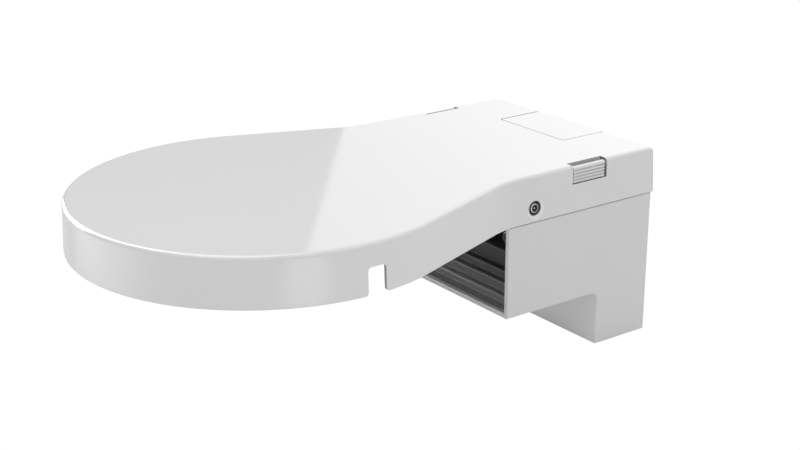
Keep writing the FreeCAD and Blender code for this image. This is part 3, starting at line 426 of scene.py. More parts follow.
def prism(name, profile, axis, start, end):
    # a closed profile, pushed along x, y or z; profile runs in the other two axes in order
    def at(a, b, c):
        return {"x": (c, a, b), "y": (a, c, b), "z": (a, b, c)}[axis]

    count = len(profile)
    points = [at(a, b, start) for a, b in profile] + [at(a, b, end) for a, b in profile]
    faces = [tuple(range(count))[::-1], tuple(range(count, 2 * count))]
    faces += [(i, (i + 1) % count, count + (i + 1) % count, count + i) for i in range(count)]
    piece = toMesh(name, points, faces)
    facesOut(piece)
    return piece


def facesOut(piece):
    work = bmesh.new()
    work.from_mesh(piece.data)
    bmesh.ops.remove_doubles(work, verts=work.verts, dist=1e-7)
    bmesh.ops.recalc_face_normals(work, faces=work.faces)
    work.to_mesh(piece.data)
    work.free()


def turned(name, profile, centre, axis, segments=64):
    # a lathe shape: profile is (along, radius) pairs from one end to the other
    axis = Vector(axis).normalized()
    across = axis.orthogonal().normalized()
    other = axis.cross(across)
    points, faces, rings = [], [], []
    for along, radius in profile:
        middle = Vector(centre) + axis * along
        if radius < 1e-7:
            rings.append([len(points)])
            points.append(middle)
            continue
        ring = []
        for i in range(segments):
            angle = 2 * math.pi * i / segments
            ring.append(len(points))
            points.append(middle + (across * math.cos(angle) + other * math.sin(angle)) * radius)
        rings.append(ring)
    for lower, upper in zip(rings, rings[1:]):
        for i in range(segments):
            j = (i + 1) % segments
            under, over = len(lower), len(upper)
            quad = [lower[i % under], lower[j % under], upper[j % over], upper[i % over]]
            faces.append(tuple(dict.fromkeys(quad)))
    piece = toMesh(name, points, faces)
    facesOut(piece)
    return piece


def arc(centre, radius, start, end, steps):
    found = []
    for i in range(steps + 1):
        angle = math.radians(start + (end - start) * i / steps)
        found.append((centre[0] + radius * math.cos(angle), centre[1] + radius * math.sin(angle)))
    return found


def merged(node, name):
    # a closed copy of a CAD node, without the split corners and the flats' triangles
    work = bmesh.new()
    work.from_mesh(nodes[node].data)
    bmesh.ops.remove_doubles(work, verts=work.verts, dist=2e-6)
    bmesh.ops.dissolve_limit(work, angle_limit=math.radians(0.3), verts=work.verts, edges=work.edges)
    mesh = bpy.data.meshes.new(name)
    work.to_mesh(mesh)
    work.free()
    mesh.materials.clear()
    piece = bpy.data.objects.new(name, mesh)
    bpy.context.scene.collection.objects.link(piece)
    return piece


def islands(node):
    # lowest and highest corner of each separate solid of a CAD node
    work = bmesh.new()
    work.from_mesh(nodes[node].data)
    bmesh.ops.remove_doubles(work, verts=work.verts, dist=2e-6)
    left = set(work.verts)
    found = []
    while left:
        stack = [left.pop()]
        group = []
        while stack:
            vert = stack.pop()
            group.append(vert.co.copy())
            for edge in vert.link_edges:
                other = edge.other_vert(vert)
                if other in left:
                    left.remove(other)
                    stack.append(other)
        low = Vector([min(point[i] for point in group) for i in range(3)])
        high = Vector([max(point[i] for point in group) for i in range(3)])
        found.append((low, high))
    work.free()
    return found


def fit(piece, body, finish, slotName, *replaced):
    piece.data.materials.clear()
    piece.data.materials.append(finish)
    for polygon in piece.data.polygons:
        polygon.material_index = 0
    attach(piece, body)
    if replaced:
        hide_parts(*replaced)
    return piece


class Graph:
    # a Geometry Nodes tree with named inputs
    def __init__(self, name, inputs):
        self.tree = bpy.data.node_groups.new(name, "GeometryNodeTree")
        face = self.tree.interface
        self.names = {}
        for label, kind, value in inputs:
            socket = face.new_socket(label, in_out="INPUT", socket_type="NodeSocket" + kind)
            if value is not None:
                socket.default_value = value
            self.names[label] = socket.identifier
        face.new_socket("Geometry", in_out="OUTPUT", socket_type="NodeSocketGeometry")
        self.entry = self.tree.nodes.new("NodeGroupInput")
        self.exit = self.tree.nodes.new("NodeGroupOutput")

    def given(self, label):
        return self.entry.outputs[label]

    def node(self, kind, settings=None, values=None, output=0):
        made = self.tree.nodes.new(kind)
        for key, value in (settings or {}).items():
            setattr(made, key, value)
        for key, value in (values or {}).items():
            if isinstance(value, bpy.types.NodeSocket):
                self.tree.links.new(value, made.inputs[key])
            else:
                made.inputs[key].default_value = value
        return made.outputs[output]

    def close(self, geometry, finish):
        real = self.node("GeometryNodeRealizeInstances", {}, {"Geometry": geometry})
        painted = self.node("GeometryNodeSetMaterial", {}, {"Geometry": real, "Material": finish})
        self.tree.links.new(painted, self.exit.inputs[0])

    def grow(self, name, values, base=None):
        # runs the tree on a new object and keeps the plain mesh
        piece = base or toMesh(name, [], [])
        step = piece.modifiers.new("grow", "NODES")
        step.node_group = self.tree
        for label, value in values.items():
            step[self.names[label]] = value
        settle(piece)
        piece.name = name
        return piece


def makeRibTree(finish):
    tree = Graph("gripRibs", [
        ("Start", "Vector", None), ("Length", "Float", 40 * mm), ("Radius", "Float", 1 * mm),
        ("Count", "Int", 4), ("Pitch", "Float", 3.4 * mm)])
    reach = tree.node("ShaderNodeCombineXYZ", {}, {"Y": tree.given("Length")})
    line = tree.node("GeometryNodeCurvePrimitiveLine", {}, {"End": reach})
    section = tree.node("GeometryNodeCurvePrimitiveCircle", {}, {
        "Resolution": 20, "Radius": tree.given("Radius")})
    rib = tree.node("GeometryNodeCurveToMesh", {}, {
        "Curve": line, "Profile Curve": section, "Fill Caps": True})
    climb = tree.node("ShaderNodeCombineXYZ", {}, {"Z": tree.given("Pitch")})
    places = tree.node("GeometryNodeMeshLine", {}, {
        "Count": tree.given("Count"), "Start Location": tree.given("Start"), "Offset": climb})
    repeated = tree.node("GeometryNodeInstanceOnPoints", {}, {"Points": places, "Instance": rib})
    tree.close(repeated, finish)
    return tree


def makeCoilTree(finish):
    tree = Graph("coil", [
        ("Turns", "Float", 3.0), ("Radius", "Float", 2.1 * mm), ("Length", "Float", 3.8 * mm),
        ("Wire", "Float", 0.28 * mm)])
    helix = tree.node("GeometryNodeCurveSpiral", {}, {
        "Resolution": 22, "Rotations": tree.given("Turns"), "Start Radius": tree.given("Radius"),
        "End Radius": tree.given("Radius"), "Height": tree.given("Length")})
    wire = tree.node("GeometryNodeCurvePrimitiveCircle", {}, {"Resolution": 10, "Radius": tree.given("Wire")})
    solid = tree.node("GeometryNodeCurveToMesh", {}, {
        "Curve": helix, "Profile Curve": wire, "Fill Caps": True})
    tree.close(solid, finish)
    return tree


def makeScrewTree(finish):
    tree = Graph("screwSet", [
        ("Geometry", "Geometry", None), ("Head", "Object", None), ("Turn", "Vector", None)])
    head = tree.node("GeometryNodeObjectInfo", {"transform_space": "RELATIVE"}, {
        "Object": tree.given("Head")}, output=4)
    turn = tree.node("FunctionNodeEulerToRotation", {}, {"Euler": tree.given("Turn")})
    dots = tree.node("GeometryNodeMeshToPoints", {}, {"Mesh": tree.given("Geometry")})
    placed = tree.node("GeometryNodeInstanceOnPoints", {}, {
        "Points": dots, "Instance": head, "Rotation": turn})
    tree.close(placed, finish)
    return tree


lid = {
    "half": 130 * mm, "rear": 137 * mm, "top": 150 * mm, "bottom": 100 * mm,
    "disc": 193 * mm, "discY": -274.5 * mm, "neck": 110 * mm, "neckY": -51 * mm,
    "flare": math.tan(math.radians(2)), "wall": 3.2 * mm, "rim": 4.5 * mm, "lip": 0.9 * mm, "edge": 0.4 * mm,
    "steps": (96, 40, 12, 14),  # round the disc, round the neck, along the side and along the rear
    "innerRing": 12 * mm,  # heights of the skin's extra rings, from the top or the bottom
    "outerRings": (6 * mm, 20 * mm, 9 * mm),
    "clear": 2 * mm,  # how far a cutting tool stands past the top
    "notch": (-282 * mm, -262 * mm, 127 * mm, 4 * mm),  # start, end, top and corner
    "notchReach": (160 * mm, 220 * mm),
    "screw": (-29.6 * mm, 114.4 * mm, 7.9 * mm),  # y, z and radius of the side screw's hole
    "screwCone": (120 * mm, 129.5 * mm, 133.5 * mm, 6.93 * mm),  # hole's start, cone's start, end and flare
    "recess": (119.5 * mm, 20.9 * mm, 68.8 * mm, 130.2 * mm),  # inner x, front, rear and bottom
    "recessReach": 138 * mm,
    "recessWall": (3 * mm, 3.4 * mm, 128.5 * mm, 147.5 * mm),  # inside, round it, outer x and top
    "stemSlot": ((-6 * mm, 1 * mm), (38.5 * mm, 47.5 * mm), (132.8 * mm, 138.8 * mm)),  # x from the recess
    "hingeSlot": ((105 * mm, 127.2 * mm), (125 * mm, 150 * mm), (90 * mm, 146.8 * mm)),
    "cover": (53.7 * mm, 76.3 * mm, 148.1 * mm, 3.7 * mm),  # half width, front, floor and corner
    "coverReach": 150 * mm,
}


def lidOutline(inset):
    half = lid["half"] - inset
    rear = lid["rear"] - inset
    disc = lid["disc"] - inset
    neck = lid["neck"] + inset
    centre = Vector((0, lid["discY"]))
    neckCentre = Vector((half + neck, lid["neckY"]))
    reach = neckCentre - centre
    turn = math.atan2(reach.y, reach.x) - math.acos((disc + neck) / reach.length)
    discSteps, neckSteps, sideSteps, rearSteps = lid["steps"]
    discAngles = [-math.pi / 2 + (turn + math.pi / 2) * i / discSteps for i in range(discSteps + 1)]
    neckAngles = [turn * (1 - i / neckSteps) for i in range(neckSteps + 1)]
    right = [(disc * math.cos(angle), lid["discY"] + disc * math.sin(angle)) for angle in discAngles]
    right += [(neckCentre.x - neck * math.cos(angle), lid["neckY"] - neck * math.sin(angle))
              for angle in neckAngles]
    right += [(half, lid["neckY"] + (rear - lid["neckY"]) * i / sideSteps) for i in range(1, sideSteps + 1)]
    back = [(half * (1 - i / rearSteps), rear) for i in range(1, rearSteps)]
    left = [(-x, y) for x, y in right[::-1]]
    return right + back + left[:-1]


def ringStack(name, levels):
    # closed skin through (inset, height) levels, from the inner ceiling round the lip to the top
    rings = [[(x, y, height) for x, y in lidOutline(inset)] for inset, height in levels]
    count = len(rings[0])
    points = [point for ring in rings for point in ring]
    faces = []
    for k in range(len(rings) - 1):
        for i in range(count):
            j = (i + 1) % count
            faces.append((k * count + i, k * count + j, (k + 1) * count + j, (k + 1) * count + i))
    faces.append(tuple(range(count)))
    faces.append(tuple((len(rings) - 1) * count + i for i in range(count)))
    piece = toMesh(name, points, faces)
    facesOut(piece)
    return piece


def lidLevels():
    top, bottom, flare = lid["top"], lid["bottom"], lid["flare"]
    ceiling = top - lid["wall"]

    def out(height):
        return (top - height) * flare

    ring = lid["innerRing"]
    levels = [(lid["wall"] - out(height) + 0.1 * mm, height)
              for height in (ceiling, ceiling - ring, bottom + ring)]
    levels.append((lid["wall"] - out(bottom), bottom))
    lip = lid["lip"]
    middle = (out(bottom) - lip, bottom + lip)
    levels += [(-(middle[0] + lip * math.cos(a)), middle[1] + lip * math.sin(a))
               for a in [math.radians(-90 + 92 * i / 4) for i in range(5)]]
    first, second, last = lid["outerRings"]
    levels += [(-out(height), height)
               for height in (bottom + first, bottom + second, top - second, top - last)]
    rim = lid["rim"]
    lean = math.atan(flare)
    start = top - rim + rim * math.sin(lean)
    centre = out(start) - rim * math.cos(lean)
    levels += [(-(centre + rim * math.cos(a)), top - rim + rim * math.sin(a))
               for a in [lean + (math.pi / 2 - lean) * i / 9 for i in range(10)]]
    return levels


def cutButtonRecesses(shell):
    inner, front, rear, bottom = lid["recess"]
    inside, wall, outer, roof = lid["recessWall"]
    across, along, upright = lid["stemSlot"]
    for _, sign in sides:
        box = sideSlab(sign, (inner - inside, outer), (front - wall, rear + wall), (bottom - wall, roof))
        combine(shell, box, "UNION")
    for _, sign in sides:
        above = lid["top"] + lid["clear"]
        combine(shell, sideSlab(sign, (inner, lid["recessReach"]), (front, rear), (bottom, above)))
        combine(shell, sideSlab(sign, [inner + x for x in across], along, upright))


def cutNotches(shell):
    start, end, top, corner = lid["notch"]
    near, far = lid["notchReach"]
    foot = lid["bottom"] + corner
    below = foot - 2 * corner
    arch = [(start - corner, below), (end + corner, below)]
    arch += arc((end + corner, foot), corner, 270, 180, 6)
    arch += arc((end - corner, top - corner), corner, 0, 90, 8)
    arch += arc((start + corner, top - corner), corner, 90, 180, 8)
    arch += arc((start - corner, foot), corner, 0, -90, 6)
    for _, sign in sides:
        combine(shell, prism("tool", arch, "x", sign * near, sign * far))


def cutScrewAndHinge(shell):
    y, z, radius = lid["screw"]
    start, coneStart, coneEnd, flare = lid["screwCone"]
    cone = [(start, 0), (start, radius), (coneStart, radius), (coneEnd, radius + flare), (coneEnd, 0)]
    for _, sign in sides:
        combine(shell, turned("tool", cone, (0, y, z), (sign, 0, 0), 72))
        combine(shell, sideSlab(sign, *lid["hingeSlot"]))


def coverOutline(half, front, rear, corner, steps):
    outline = [(half, rear), (-half, rear)]
    outline += arc((-half + corner, front + corner), corner, 180, 270, steps)
    outline += arc((half - corner, front + corner), corner, 270, 360, steps)
    return outline


lidPaint = {  # where the shell's faces take painted shade or a painted highlight instead of the gloss white
    "near": 0.2 * mm, "recessOut": 131.2 * mm, "outerFace": 129 * mm, "recessTop": 149.2 * mm,
    "rearWall": 0.8 * mm, "ringStart": 129.4 * mm, "ringWidth": 3.6 * mm, "skirt": 150 * mm,
    "notchWall": 0.6 * mm, "coverEdge": 0.3 * mm, "coverTop": 149.6 * mm,
    "finishes": ("recess_painted_shade", "ring_painted_highlight", "gap_painted_shade", "seam_painted_shade"),
}


def paintLidShell(shell, finishes):
    for name in lidPaint["finishes"]:
        shell.data.materials.append(finishes[name])
    recess, ring, paintedGapShade, seamShade = 1, 2, 3, 4
    inner, front, rear, bottom = lid["recess"]
    notchEnd = lid["notch"][1]
    y, z, radius = lid["screw"]
    half, edge, floor, _ = lid["cover"]
    near, coverEdge = lidPaint["near"], lidPaint["coverEdge"]
    for face in shell.data.polygons:
        x, along, height = face.center
        facing = face.normal
        within = (inner - near < abs(x) < lidPaint["recessOut"] and front - near < along < rear + near
                  and bottom - near < height < lidPaint["recessTop"])
        outside = abs(x) > lidPaint["outerFace"] and abs(facing.x) > 0.5
        # painted shade in the button recess: faint on its walls, deep on its rear wall and its floor
        if within and not outside:
            shaded = along > rear - lidPaint["rearWall"] or facing.z > 0.9
            face.material_index = paintedGapShade if shaded else recess
        # painted highlight on the cone round the side screw
        away = math.hypot(along - y, height - z)
        if abs(x) > lidPaint["ringStart"] and away < radius + lidPaint["ringWidth"] and abs(facing.x) < 0.96:
            face.material_index = ring
        # painted shade on the end wall of the finger notch
        if abs(x) > lidPaint["skirt"] and abs(along - notchEnd) < lidPaint["notchWall"] and facing.y < -0.8:
            face.material_index = paintedGapShade
        # painted shade on the walls of the gap round the access cover
        beside = abs(x) < half + coverEdge and along > edge - coverEdge
        if beside and floor - near < height < lidPaint["coverTop"]:
            face.material_index = seamShade


def makeLidShell(finishes):
    shell = ringStack("lidShell", lidLevels())
    cutButtonRecesses(shell)
    cutNotches(shell)
    cutScrewAndHinge(shell)
    half, edge, floor, corner = lid["cover"]
    outline = coverOutline(half, edge, lid["coverReach"], corner, 8)
    combine(shell, prism("tool", outline, "z", floor, lid["top"] + lid["clear"]))
    soften(shell, lid["edge"], 2, 50, 30)
    fit(shell, "lid", finishes["white_gloss"], "white_gloss", "lid_shell")
    paintLidShell(shell, finishes)
    print("lid shell:", len(shell.data.polygons), "faces")


accessCover = {
    "half": 52.7 * mm, "front": 77.3 * mm, "rear": 136.1 * mm, "bottom": 148.2 * mm, "top": 149.97 * mm,
    "corner": 3 * mm, "edge": 0.3 * mm, "seamRear": 1 * mm,
}


def makeAccessCover(finish, seamShade):
    rear = accessCover["rear"]
    outline = coverOutline(accessCover["half"], accessCover["front"], rear, accessCover["corner"], 10)
    plate = prism("accessCover", outline, "z", accessCover["bottom"], accessCover["top"])
    soften(plate, accessCover["edge"], 2, 50, 30)
    fit(plate, "cover", finish, "white_gloss", "access_cover")
    # painted shade on the cover's side faces, so the gap round it reads dark
    plate.data.materials.append(seamShade)
    for face in plate.data.polygons:
        if abs(face.normal.z) < 0.5 and face.center.y < rear - accessCover["seamRear"]:
            face.material_index = 1
    print("access cover")


button = {
    "inner": 124 * mm, "face": 129.0 * mm, "brow": 130.9 * mm, "front": 21.5 * mm, "rear": 66 * mm,
    "bottom": 130.8 * mm, "browZ": 144.8 * mm, "top": 148.4 * mm, "round": 2.6 * mm,
    "browRise": 0.6 * mm, "chamfer": (2.1 * mm, 1.5 * mm), "shaded": 1.9 * mm, "edge": 0.4 * mm,
    "stem": ((114 * mm, 124.5 * mm), (39.5 * mm, 46.5 * mm), (133.8 * mm, 137.8 * mm)),
    "ribs": 4, "ribRadius": 1.38 * mm, "ribPitch": 3.4 * mm, "firstRib": 132.4 * mm,
    "ribOut": 0.5 * mm, "ribInset": 0.6 * mm,
}


def makeKey(side, sign, finish, shade):
    inner, face, brow, top, curve = (button[key] for key in ("inner", "face", "brow", "top", "round"))
    broad, deep = button["chamfer"]
    profile = [(inner, button["bottom"]), (face, button["bottom"]), (face, button["browZ"]),
               (brow, button["browZ"] + button["browRise"])]
    profile += arc((brow - curve, top - curve), curve, 0, 90, 10)
    profile += [(inner + broad, top), (inner, top - deep)]
    mirrored = [(sign * x, z) for x, z in profile]
    key = prism("button" + side.title(), mirrored, "y", button["front"], button["rear"])
    combine(key, sideSlab(sign, *button["stem"]), "UNION")
    soften(key, button["edge"], 2, 50, 30)
    fit(key, "button_" + side, finish, slotOf["release_button_" + side], "release_button_" + side)
    # painted shade on the faces along the button's inner edge
    key.data.materials.append(shade)
    for polygon in key.data.polygons:
        if abs(polygon.center.x) < inner + button["shaded"]:
            polygon.material_index = 1


def makeRibs(side, sign, finish, ribTree):
    inset = button["ribInset"]
    ribs = ribTree.grow("gripRibs" + side.title(), {
        "Start": (sign * (button["face"] + button["ribOut"]), button["front"] + inset, button["firstRib"]),
        "Length": button["rear"] - button["front"] - 2 * inset, "Radius": button["ribRadius"],
        "Count": button["ribs"], "Pitch": button["ribPitch"]})
    ribs.data.shade_smooth()
    ribs.data.set_sharp_from_angle(angle=math.radians(50))
    fit(ribs, "button_" + side, finish, slotOf["release_button_" + side])


spring = {
    "turns": 3.0, "radius": 2.1 * mm, "length": 3.8 * mm, "wire": 0.28 * mm,
    "start": (119.85 * mm, 29.5 * mm, 138.8 * mm),
}


def makeSpring(side, sign, coilTree):
    coil = coilTree.grow("spring" + side.title(), {
        "Turns": spring["turns"], "Radius": spring["radius"], "Length": spring["length"],
        "Wire": spring["wire"]})
    x, y, z = spring["start"]
    lying = Matrix.Rotation(sign * math.pi / 2, 4, "Y")
    coil.data.transform(Matrix.Translation((sign * x, y, z)) @ lying)
    coil.data.shade_smooth()
    fit(coil, "lid", coil.data.materials[0], "stainless", "button_spring_" + side)
    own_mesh(coil)


def makeButtons(finish, shade, ribTree, coilTree):
    for side, sign in sides:
        makeKey(side, sign, finish, shade)
        makeRibs(side, sign, finish, ribTree)
        makeSpring(side, sign, coilTree)
    print("release buttons")


sideScrew = {
    "y": -29.6 * mm, "z": 114.4 * mm, "back": 126.85 * mm, "face": 130.25 * mm,
    "cup": 7.8 * mm, "dish": 7.1 * mm, "floor": 4.6 * mm,
    "stem": 3 * mm, "head": 5.2 * mm, "crown": 4.1 * mm, "socket": 2.7 * mm, "pin": 1.1 * mm,
}


def makeSideScrews(finishes):
    back, face = sideScrew["back"], sideScrew["face"]
    cup, dish, floor, stem = sideScrew["cup"], sideScrew["dish"], sideScrew["floor"], sideScrew["stem"]
    head, crown = sideScrew["head"], sideScrew["crown"]
    washer = [(back + 0.0002, stem + 0.0001), (back, stem + 0.0003), (back, cup), (face - 0.0004, cup),
              (face - 0.0001, cup - 0.0001), (face, cup - 0.0004), (face - 0.0001, dish + 0.0001),
              (face - 0.0004, dish - 0.0001), (back + 0.0013, floor + 0.0006), (back + 0.0009, floor),
              (back + 0.0009, stem + 0.0001), (back + 0.0002, stem + 0.0001)]
    shape = [(back - 0.0037, 0), (back - 0.0037, stem), (back + 0.0011, stem), (back + 0.0022, head - 0.0002),
             (back + 0.0025, head), (back + 0.0028, head - 0.0002), (back + 0.0031, crown + 0.0004),
             (back + 0.0031, crown), (back + 0.0029, crown - 0.0004), (back + 0.0029, 0)]
    for side, sign in sides:
        centre = (0, sideScrew["y"], sideScrew["z"])
        ring = turned("cupWasher" + side.title(), washer, centre, (sign, 0, 0), 72)
        soften(ring, 0, smooth=34)
        fit(ring, "lid", finishes["cup_steel"], "polished_steel")
        bolt = turned("sideScrew" + side.title(), shape, centre, (sign, 0, 0), 72)
        socket = sideScrew["socket"]
        well = [(back + 0.0010, 0), (back + 0.0010, socket), (back + 0.004, socket), (back + 0.004, 0)]
        combine(bolt, turned("tool", well, centre, (sign, 0, 0), 6))
        soften(bolt, 0, smooth=34)
        fit(bolt, "lid", finishes["screw_steel"], "polished_steel")
        pin = [(back + 0.0009, 0), (back + 0.0009, sideScrew["pin"]), (back + 0.0024, sideScrew["pin"]),
               (back + 0.0028, sideScrew["pin"] * 0.6), (back + 0.0029, 0)]
        post = turned("screwPin" + side.title(), pin, centre, (sign, 0, 0), 32)
        soften(post, 0, smooth=60)
        fit(post, "lid", finishes["polished_steel"], "polished_steel")
        if sign > 0:
            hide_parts("side_cup_washers")
            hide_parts("side_screws")
    print("side screws")


panHead = {"radius": 3.4 * mm, "cross": 0.75 * mm, "reach": 1.9 * mm, "depth": 1.1 * mm, "stem": 0.45}
smallScrews = {  # along is the axis that the heads face (1 is y, 2 is z), head the head's share of the length
    "rearCoverScrews": {"node": "rear_cover_screws", "along": 1, "turn": (-math.pi / 2, 0, 0), "head": 0.375},
    "bayScrews": {"node": "bay_screws", "along": 2, "turn": (0, 0, 0), "head": 0.7},
    "deckScrews": {"node": "deck_screws", "along": 2, "turn": (0, 0, 0), "head": 0.7},
}


def makePanHead(radius, height, stem):
    # head towards +z, with a cross recess
    angles = [math.radians(90 * i / 6) for i in range(7)]
    top = [(height * math.sin(a), radius - height * 0.9 * (1 - math.cos(a))) for a in angles]
    shank = panHead["stem"] * radius
    profile = [(-stem, 0), (-stem, shank), (0, shank), (0, radius)] + top[1:] + [(height, 0)]
    head = turned("panHead", profile, (0, 0, 0), (0, 0, 1), 36)
    wide, reach, depth = (panHead[key] * radius / panHead["radius"] for key in ("cross", "reach", "depth"))
    low = height - depth
    combine(head, slab((-wide / 2, -reach, low), (wide / 2, reach, height + 1 * mm)))
    combine(head, slab((-reach, -wide / 2, low), (reach, wide / 2, height + 1 * mm)))
    soften(head, 0, smooth=35)
    return head


def makeSmallScrews(finishes):
    tree = makeScrewTree(finishes["stainless"])
    for name, screws in smallScrews.items():
        solids = islands(screws["node"])
        along = screws["along"]
        low, high = solids[0]
        size = high - low
        height = size[along] * screws["head"]
        points = []
        for low, high in solids:
            middle = (low + high) / 2
            middle[along] = high[along] - height
            points.append(middle)
        head = makePanHead(size.x / 2, height, size[along] - height)
        heads = tree.grow(name, {"Head": head, "Turn": screws["turn"]}, toMesh(name, points, []))
        discard(head)
        fit(heads, "housing", finishes["stainless"], "stainless", screws["node"])
        print(name, len(solids), "screws")


copies = {  # node: edge rounding of the finished piece
    "lower_housing": 0.7 * mm, "rear_cover": 0.5 * mm, "bay_panel": 1.1 * mm, "bay_fascia": 0.4 * mm,
    "deck": 0.5 * mm, "seat_ring": 0.0, "seat_base": 0.4 * mm, "lid_inner_panel": 0.3 * mm,
    "hinge_arm_right": 0.4 * mm, "hinge_arm_left": 0.4 * mm, "dryer_door": 0.4 * mm,
    "hinge_bracket": 0.3 * mm,
    "water_heater": 0.8 * mm, "power_supply": 1.2 * mm, "fan_case": 0.6 * mm, "carbon_filter": 0.8 * mm,
    "inlet_valve": 0.5 * mm, "wand_guide": 0.5 * mm, "floor_plate": 0.3 * mm, "control_board": 0.2 * mm,
}


def camel(node):
    first, *rest = node.split("_")
    return first + "".join(word.title() for word in rest)


# nodes whose finish isn't simply their slot's: painted light and shade by height on the bay panel, painted
# shade on the fascia
finishOf = {"bay_panel": "step_plastic", "bay_fascia": "fascia_painted_shade"}


def makeCopies(finishes):
    bodies = frame["record"]["behaviour"]["bodies"]
    for node, width in copies.items():
        piece = merged(node, camel(node))
        soften(piece, width, 3, 40, 32)
        body = next(name for name, members in bodies.items() if node in members)
        fit(piece, body, finishes[finishOf.get(node, slotOf[node])], slotOf[node], node)
    print("finished copies:", len(copies))


def paintNodes(finishes):
    for name, node in nodes.items():
        node.data.materials.clear()
        node.data.materials.append(finishes[slotOf[name]])
    print("painted nodes:", len(nodes))


studio = {
    "floorZ": -61.5 * mm, "floorReach": 12, "floorGlow": 0.07,
    "shown": 1.02,  # strength of the plain white that floor and sky show the camera
    "sky": 1.08, "horizon": 0.36, "rise": (0.35, 0.75),  # upward share between which the sky brightens
}


def makeFloor():
    reach = studio["floorReach"]
    corners = [(x * reach, y * reach, studio["floorZ"]) for x, y in ((-1, -1), (1, -1), (1, 1), (-1, 1))]
    floor = toMesh("studioFloor", corners, [(0, 1, 2, 3)])
    made = Finish("paleFloor")
    speckle = made.noise(40, 4)
    tone = made.blended((0.70, 0.70, 0.70), (0.74, 0.74, 0.74), speckle)
    lit = made.node("BsdfDiffuse", {}, {"Color": tone})
    glow = made.node("Emission", {}, {"Color": (1, 1, 1, 1), "Strength": studio["floorGlow"]})
    bright = made.node("AddShader", {}, {0: lit, 1: glow})
    white = made.node("Emission", {}, {"Color": (1, 1, 1, 1), "Strength": studio["shown"]})
    seen = made.node("MixShader", {}, {0: made.node("LightPath"), 1: bright, 2: white})
    floor.data.materials.append(made.ended(seen))


def makeSky():
    world = bpy.data.worlds.new("studioSky")
    bpy.context.scene.world = world
    world.use_nodes = True
    tree = world.node_tree
    tree.nodes.clear()
    where = tree.nodes.new("ShaderNodeTexCoord")
    split = tree.nodes.new("ShaderNodeSeparateXYZ")
    tree.links.new(where.outputs["Generated"], split.inputs[0])
    ramp = tree.nodes.new("ShaderNodeMapRange")
    ramp.inputs["From Min"].default_value, ramp.inputs["From Max"].default_value = studio["rise"]
    ramp.inputs["To Min"].default_value = studio["horizon"]
    ramp.inputs["To Max"].default_value = studio["sky"]
    tree.links.new(split.outputs["Z"], ramp.inputs["Value"])
    seen = tree.nodes.new("ShaderNodeMix")  # plain white behind the object
    tree.links.new(tree.nodes.new("ShaderNodeLightPath").outputs["Is Camera Ray"], seen.inputs["Factor"])
    tree.links.new(ramp.outputs[0], seen.inputs["A"])
    seen.inputs["B"].default_value = studio["shown"]
    glow = tree.nodes.new("ShaderNodeBackground")
    glow.inputs["Color"].default_value = (1, 1, 1, 1)
    tree.links.new(seen.outputs[0], glow.inputs["Strength"])
    end = tree.nodes.new("ShaderNodeOutputWorld")
    tree.links.new(glow.outputs[0], end.inputs["Surface"])


panel = {
    "rear": (-0.433, 0.155), "front": (0.479, -0.577),  # two points of the gloss line, on the lid's top
    "reach": (2.0, 4.77),  # how many times as far from the mirrored camera the panel's left edge lies
    "across": (0.80, 0.60, 0), "width": 3.6, "below": 0.3, "above": 0.5,
    "near": 1.14, "far": 1.52, "change": 0.75,  # strength at the left edge and past the change's width
}


def makePanel():
    # a tall soft panel whose left edge lies along the gloss line of the lid
    place = Vector(camera["place"])
    mirrored = Vector((place.x, place.y, 2 * lid["top"] - place.z))
    rear = Vector((*panel["rear"], lid["top"]))
    front = Vector((*panel["front"], lid["top"]))
    low = mirrored + (rear - mirrored) * panel["reach"][0]
    high = mirrored + (front - mirrored) * panel["reach"][1]
    up = high - low
    across = Vector(panel["across"]) * panel["width"]
    bottom, top = low - up * panel["below"], high + up * panel["above"]
    sheet = toMesh("softPanel", [bottom, top, top + across, bottom + across], [(0, 1, 2, 3)])
    made = Finish("softPanel")
    along = across.normalized()
    where = made.node("TexCoord", output=3)
    travel = made.node("VectorMath", {"operation": "DOT_PRODUCT"}, {0: where, 1: along}, output=1)
    share = (travel - low.dot(along)) * (1 / panel["change"])
    strength = made.node("MapRange", {}, {"Value": share, "To Min": panel["near"], "To Max": panel["far"]})
    glow = made.node("Emission", {}, {"Color": (1, 1, 1, 1), "Strength": strength})
    sheet.data.materials.append(made.ended(glow))
    sheet.visible_camera = False


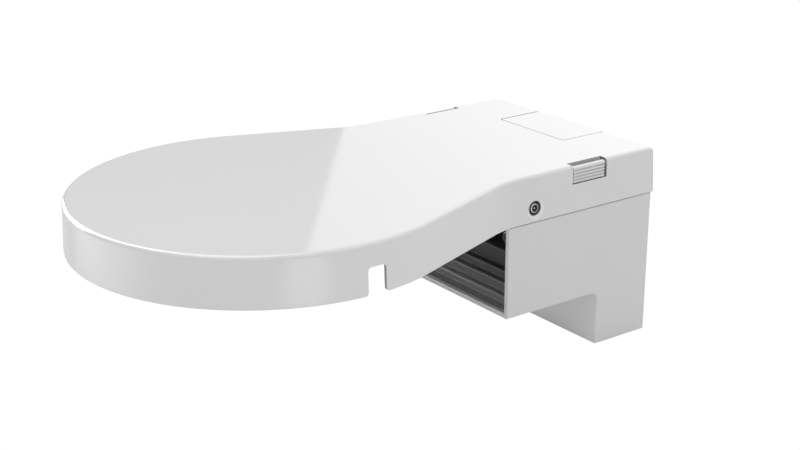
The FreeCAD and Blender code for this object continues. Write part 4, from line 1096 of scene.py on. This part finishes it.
cards = {  # middle, half extents both ways, strength and share of the half extent that stays at full strength
    "frontCard": ((-0.45, -1.02, -0.055), (0.60, 0, 0), (0, 0.50, 0), 0.75, 0.3),
    "sideCard": ((0.78, -0.42, -0.055), (0.30, 0, 0), (0, 0.24, 0), 0.9, 0.3),
    "underCard": ((0.0, 0.0, -0.058), (0.26, 0, 0), (0, 0.09, 0), 0.14, 0.3),
    "leftStrip": ((-2.0, -1.00, 1.95), (0, 0.85, 0), (0, 0, 1.90), 7.0, 0.90),
    "topCard": ((-0.55, -0.75, 2.70), (1.10, 0, 0), (0, 1.10, 0), 4.0, 0.90),
}
mirroredOnly = ("leftStrip", "topCard")  # square cards, seen in the gloss without lighting the rest


def makeCards():
    for name, (middle, wide, tall, strength, steady) in cards.items():
        middle, wide, tall = Vector(middle), Vector(wide), Vector(tall)
        corners = [middle - wide - tall, middle + wide - tall, middle + wide + tall, middle - wide + tall]
        sheet = toMesh(name, corners, [(0, 1, 2, 3)])
        made = Finish(name)
        where = made.node("TexCoord", output=3)
        centred = made.node("VectorMath", {"operation": "SUBTRACT"}, {0: where, 1: middle})
        across, along = (made.node("VectorMath", {"operation": "DOT_PRODUCT"}, {
            0: centred, 1: way / way.length_squared}, output=1) for way in (wide, tall))
        if name in mirroredOnly:
            away = across.worked("MAXIMUM", abs(across), abs(along))
        else:
            spot = made.node("CombineXYZ", {}, {"X": across, "Y": along})
            away = made.node("VectorMath", {"operation": "LENGTH"}, {0: spot}, output=1)
        fade = made.node("MapRange", {"interpolation_type": "SMOOTHSTEP"}, {
            "Value": away, "From Min": steady, "To Min": strength, "To Max": 0.0})
        glow = made.node("Emission", {}, {"Color": (1, 1, 1, 1), "Strength": fade})
        both = made.node("AddShader", {}, {0: glow, 1: made.node("BsdfTransparent")})
        sheet.data.materials.append(made.ended(both))
        sheet.visible_camera = False
        sheet.visible_diffuse = name not in mirroredOnly


makeCamera()
finishes = makeFinishes()
paintNodes(finishes)
makeCopies(finishes)
makeLidShell(finishes)
makeAccessCover(finishes["white_gloss"], finishes["seam_painted_shade"])
ribTree = makeRibTree(finishes["white_satin"])
coilTree = makeCoilTree(finishes["stainless"])
makeButtons(finishes["white_satin"], finishes["seam_painted_shade"], ribTree, coilTree)
makeSideScrews(finishes)
makeSmallScrews(finishes)
makeFloor()
makeSky()
makePanel()
makeCards()
bpy.context.scene.view_settings.view_transform = "Standard"
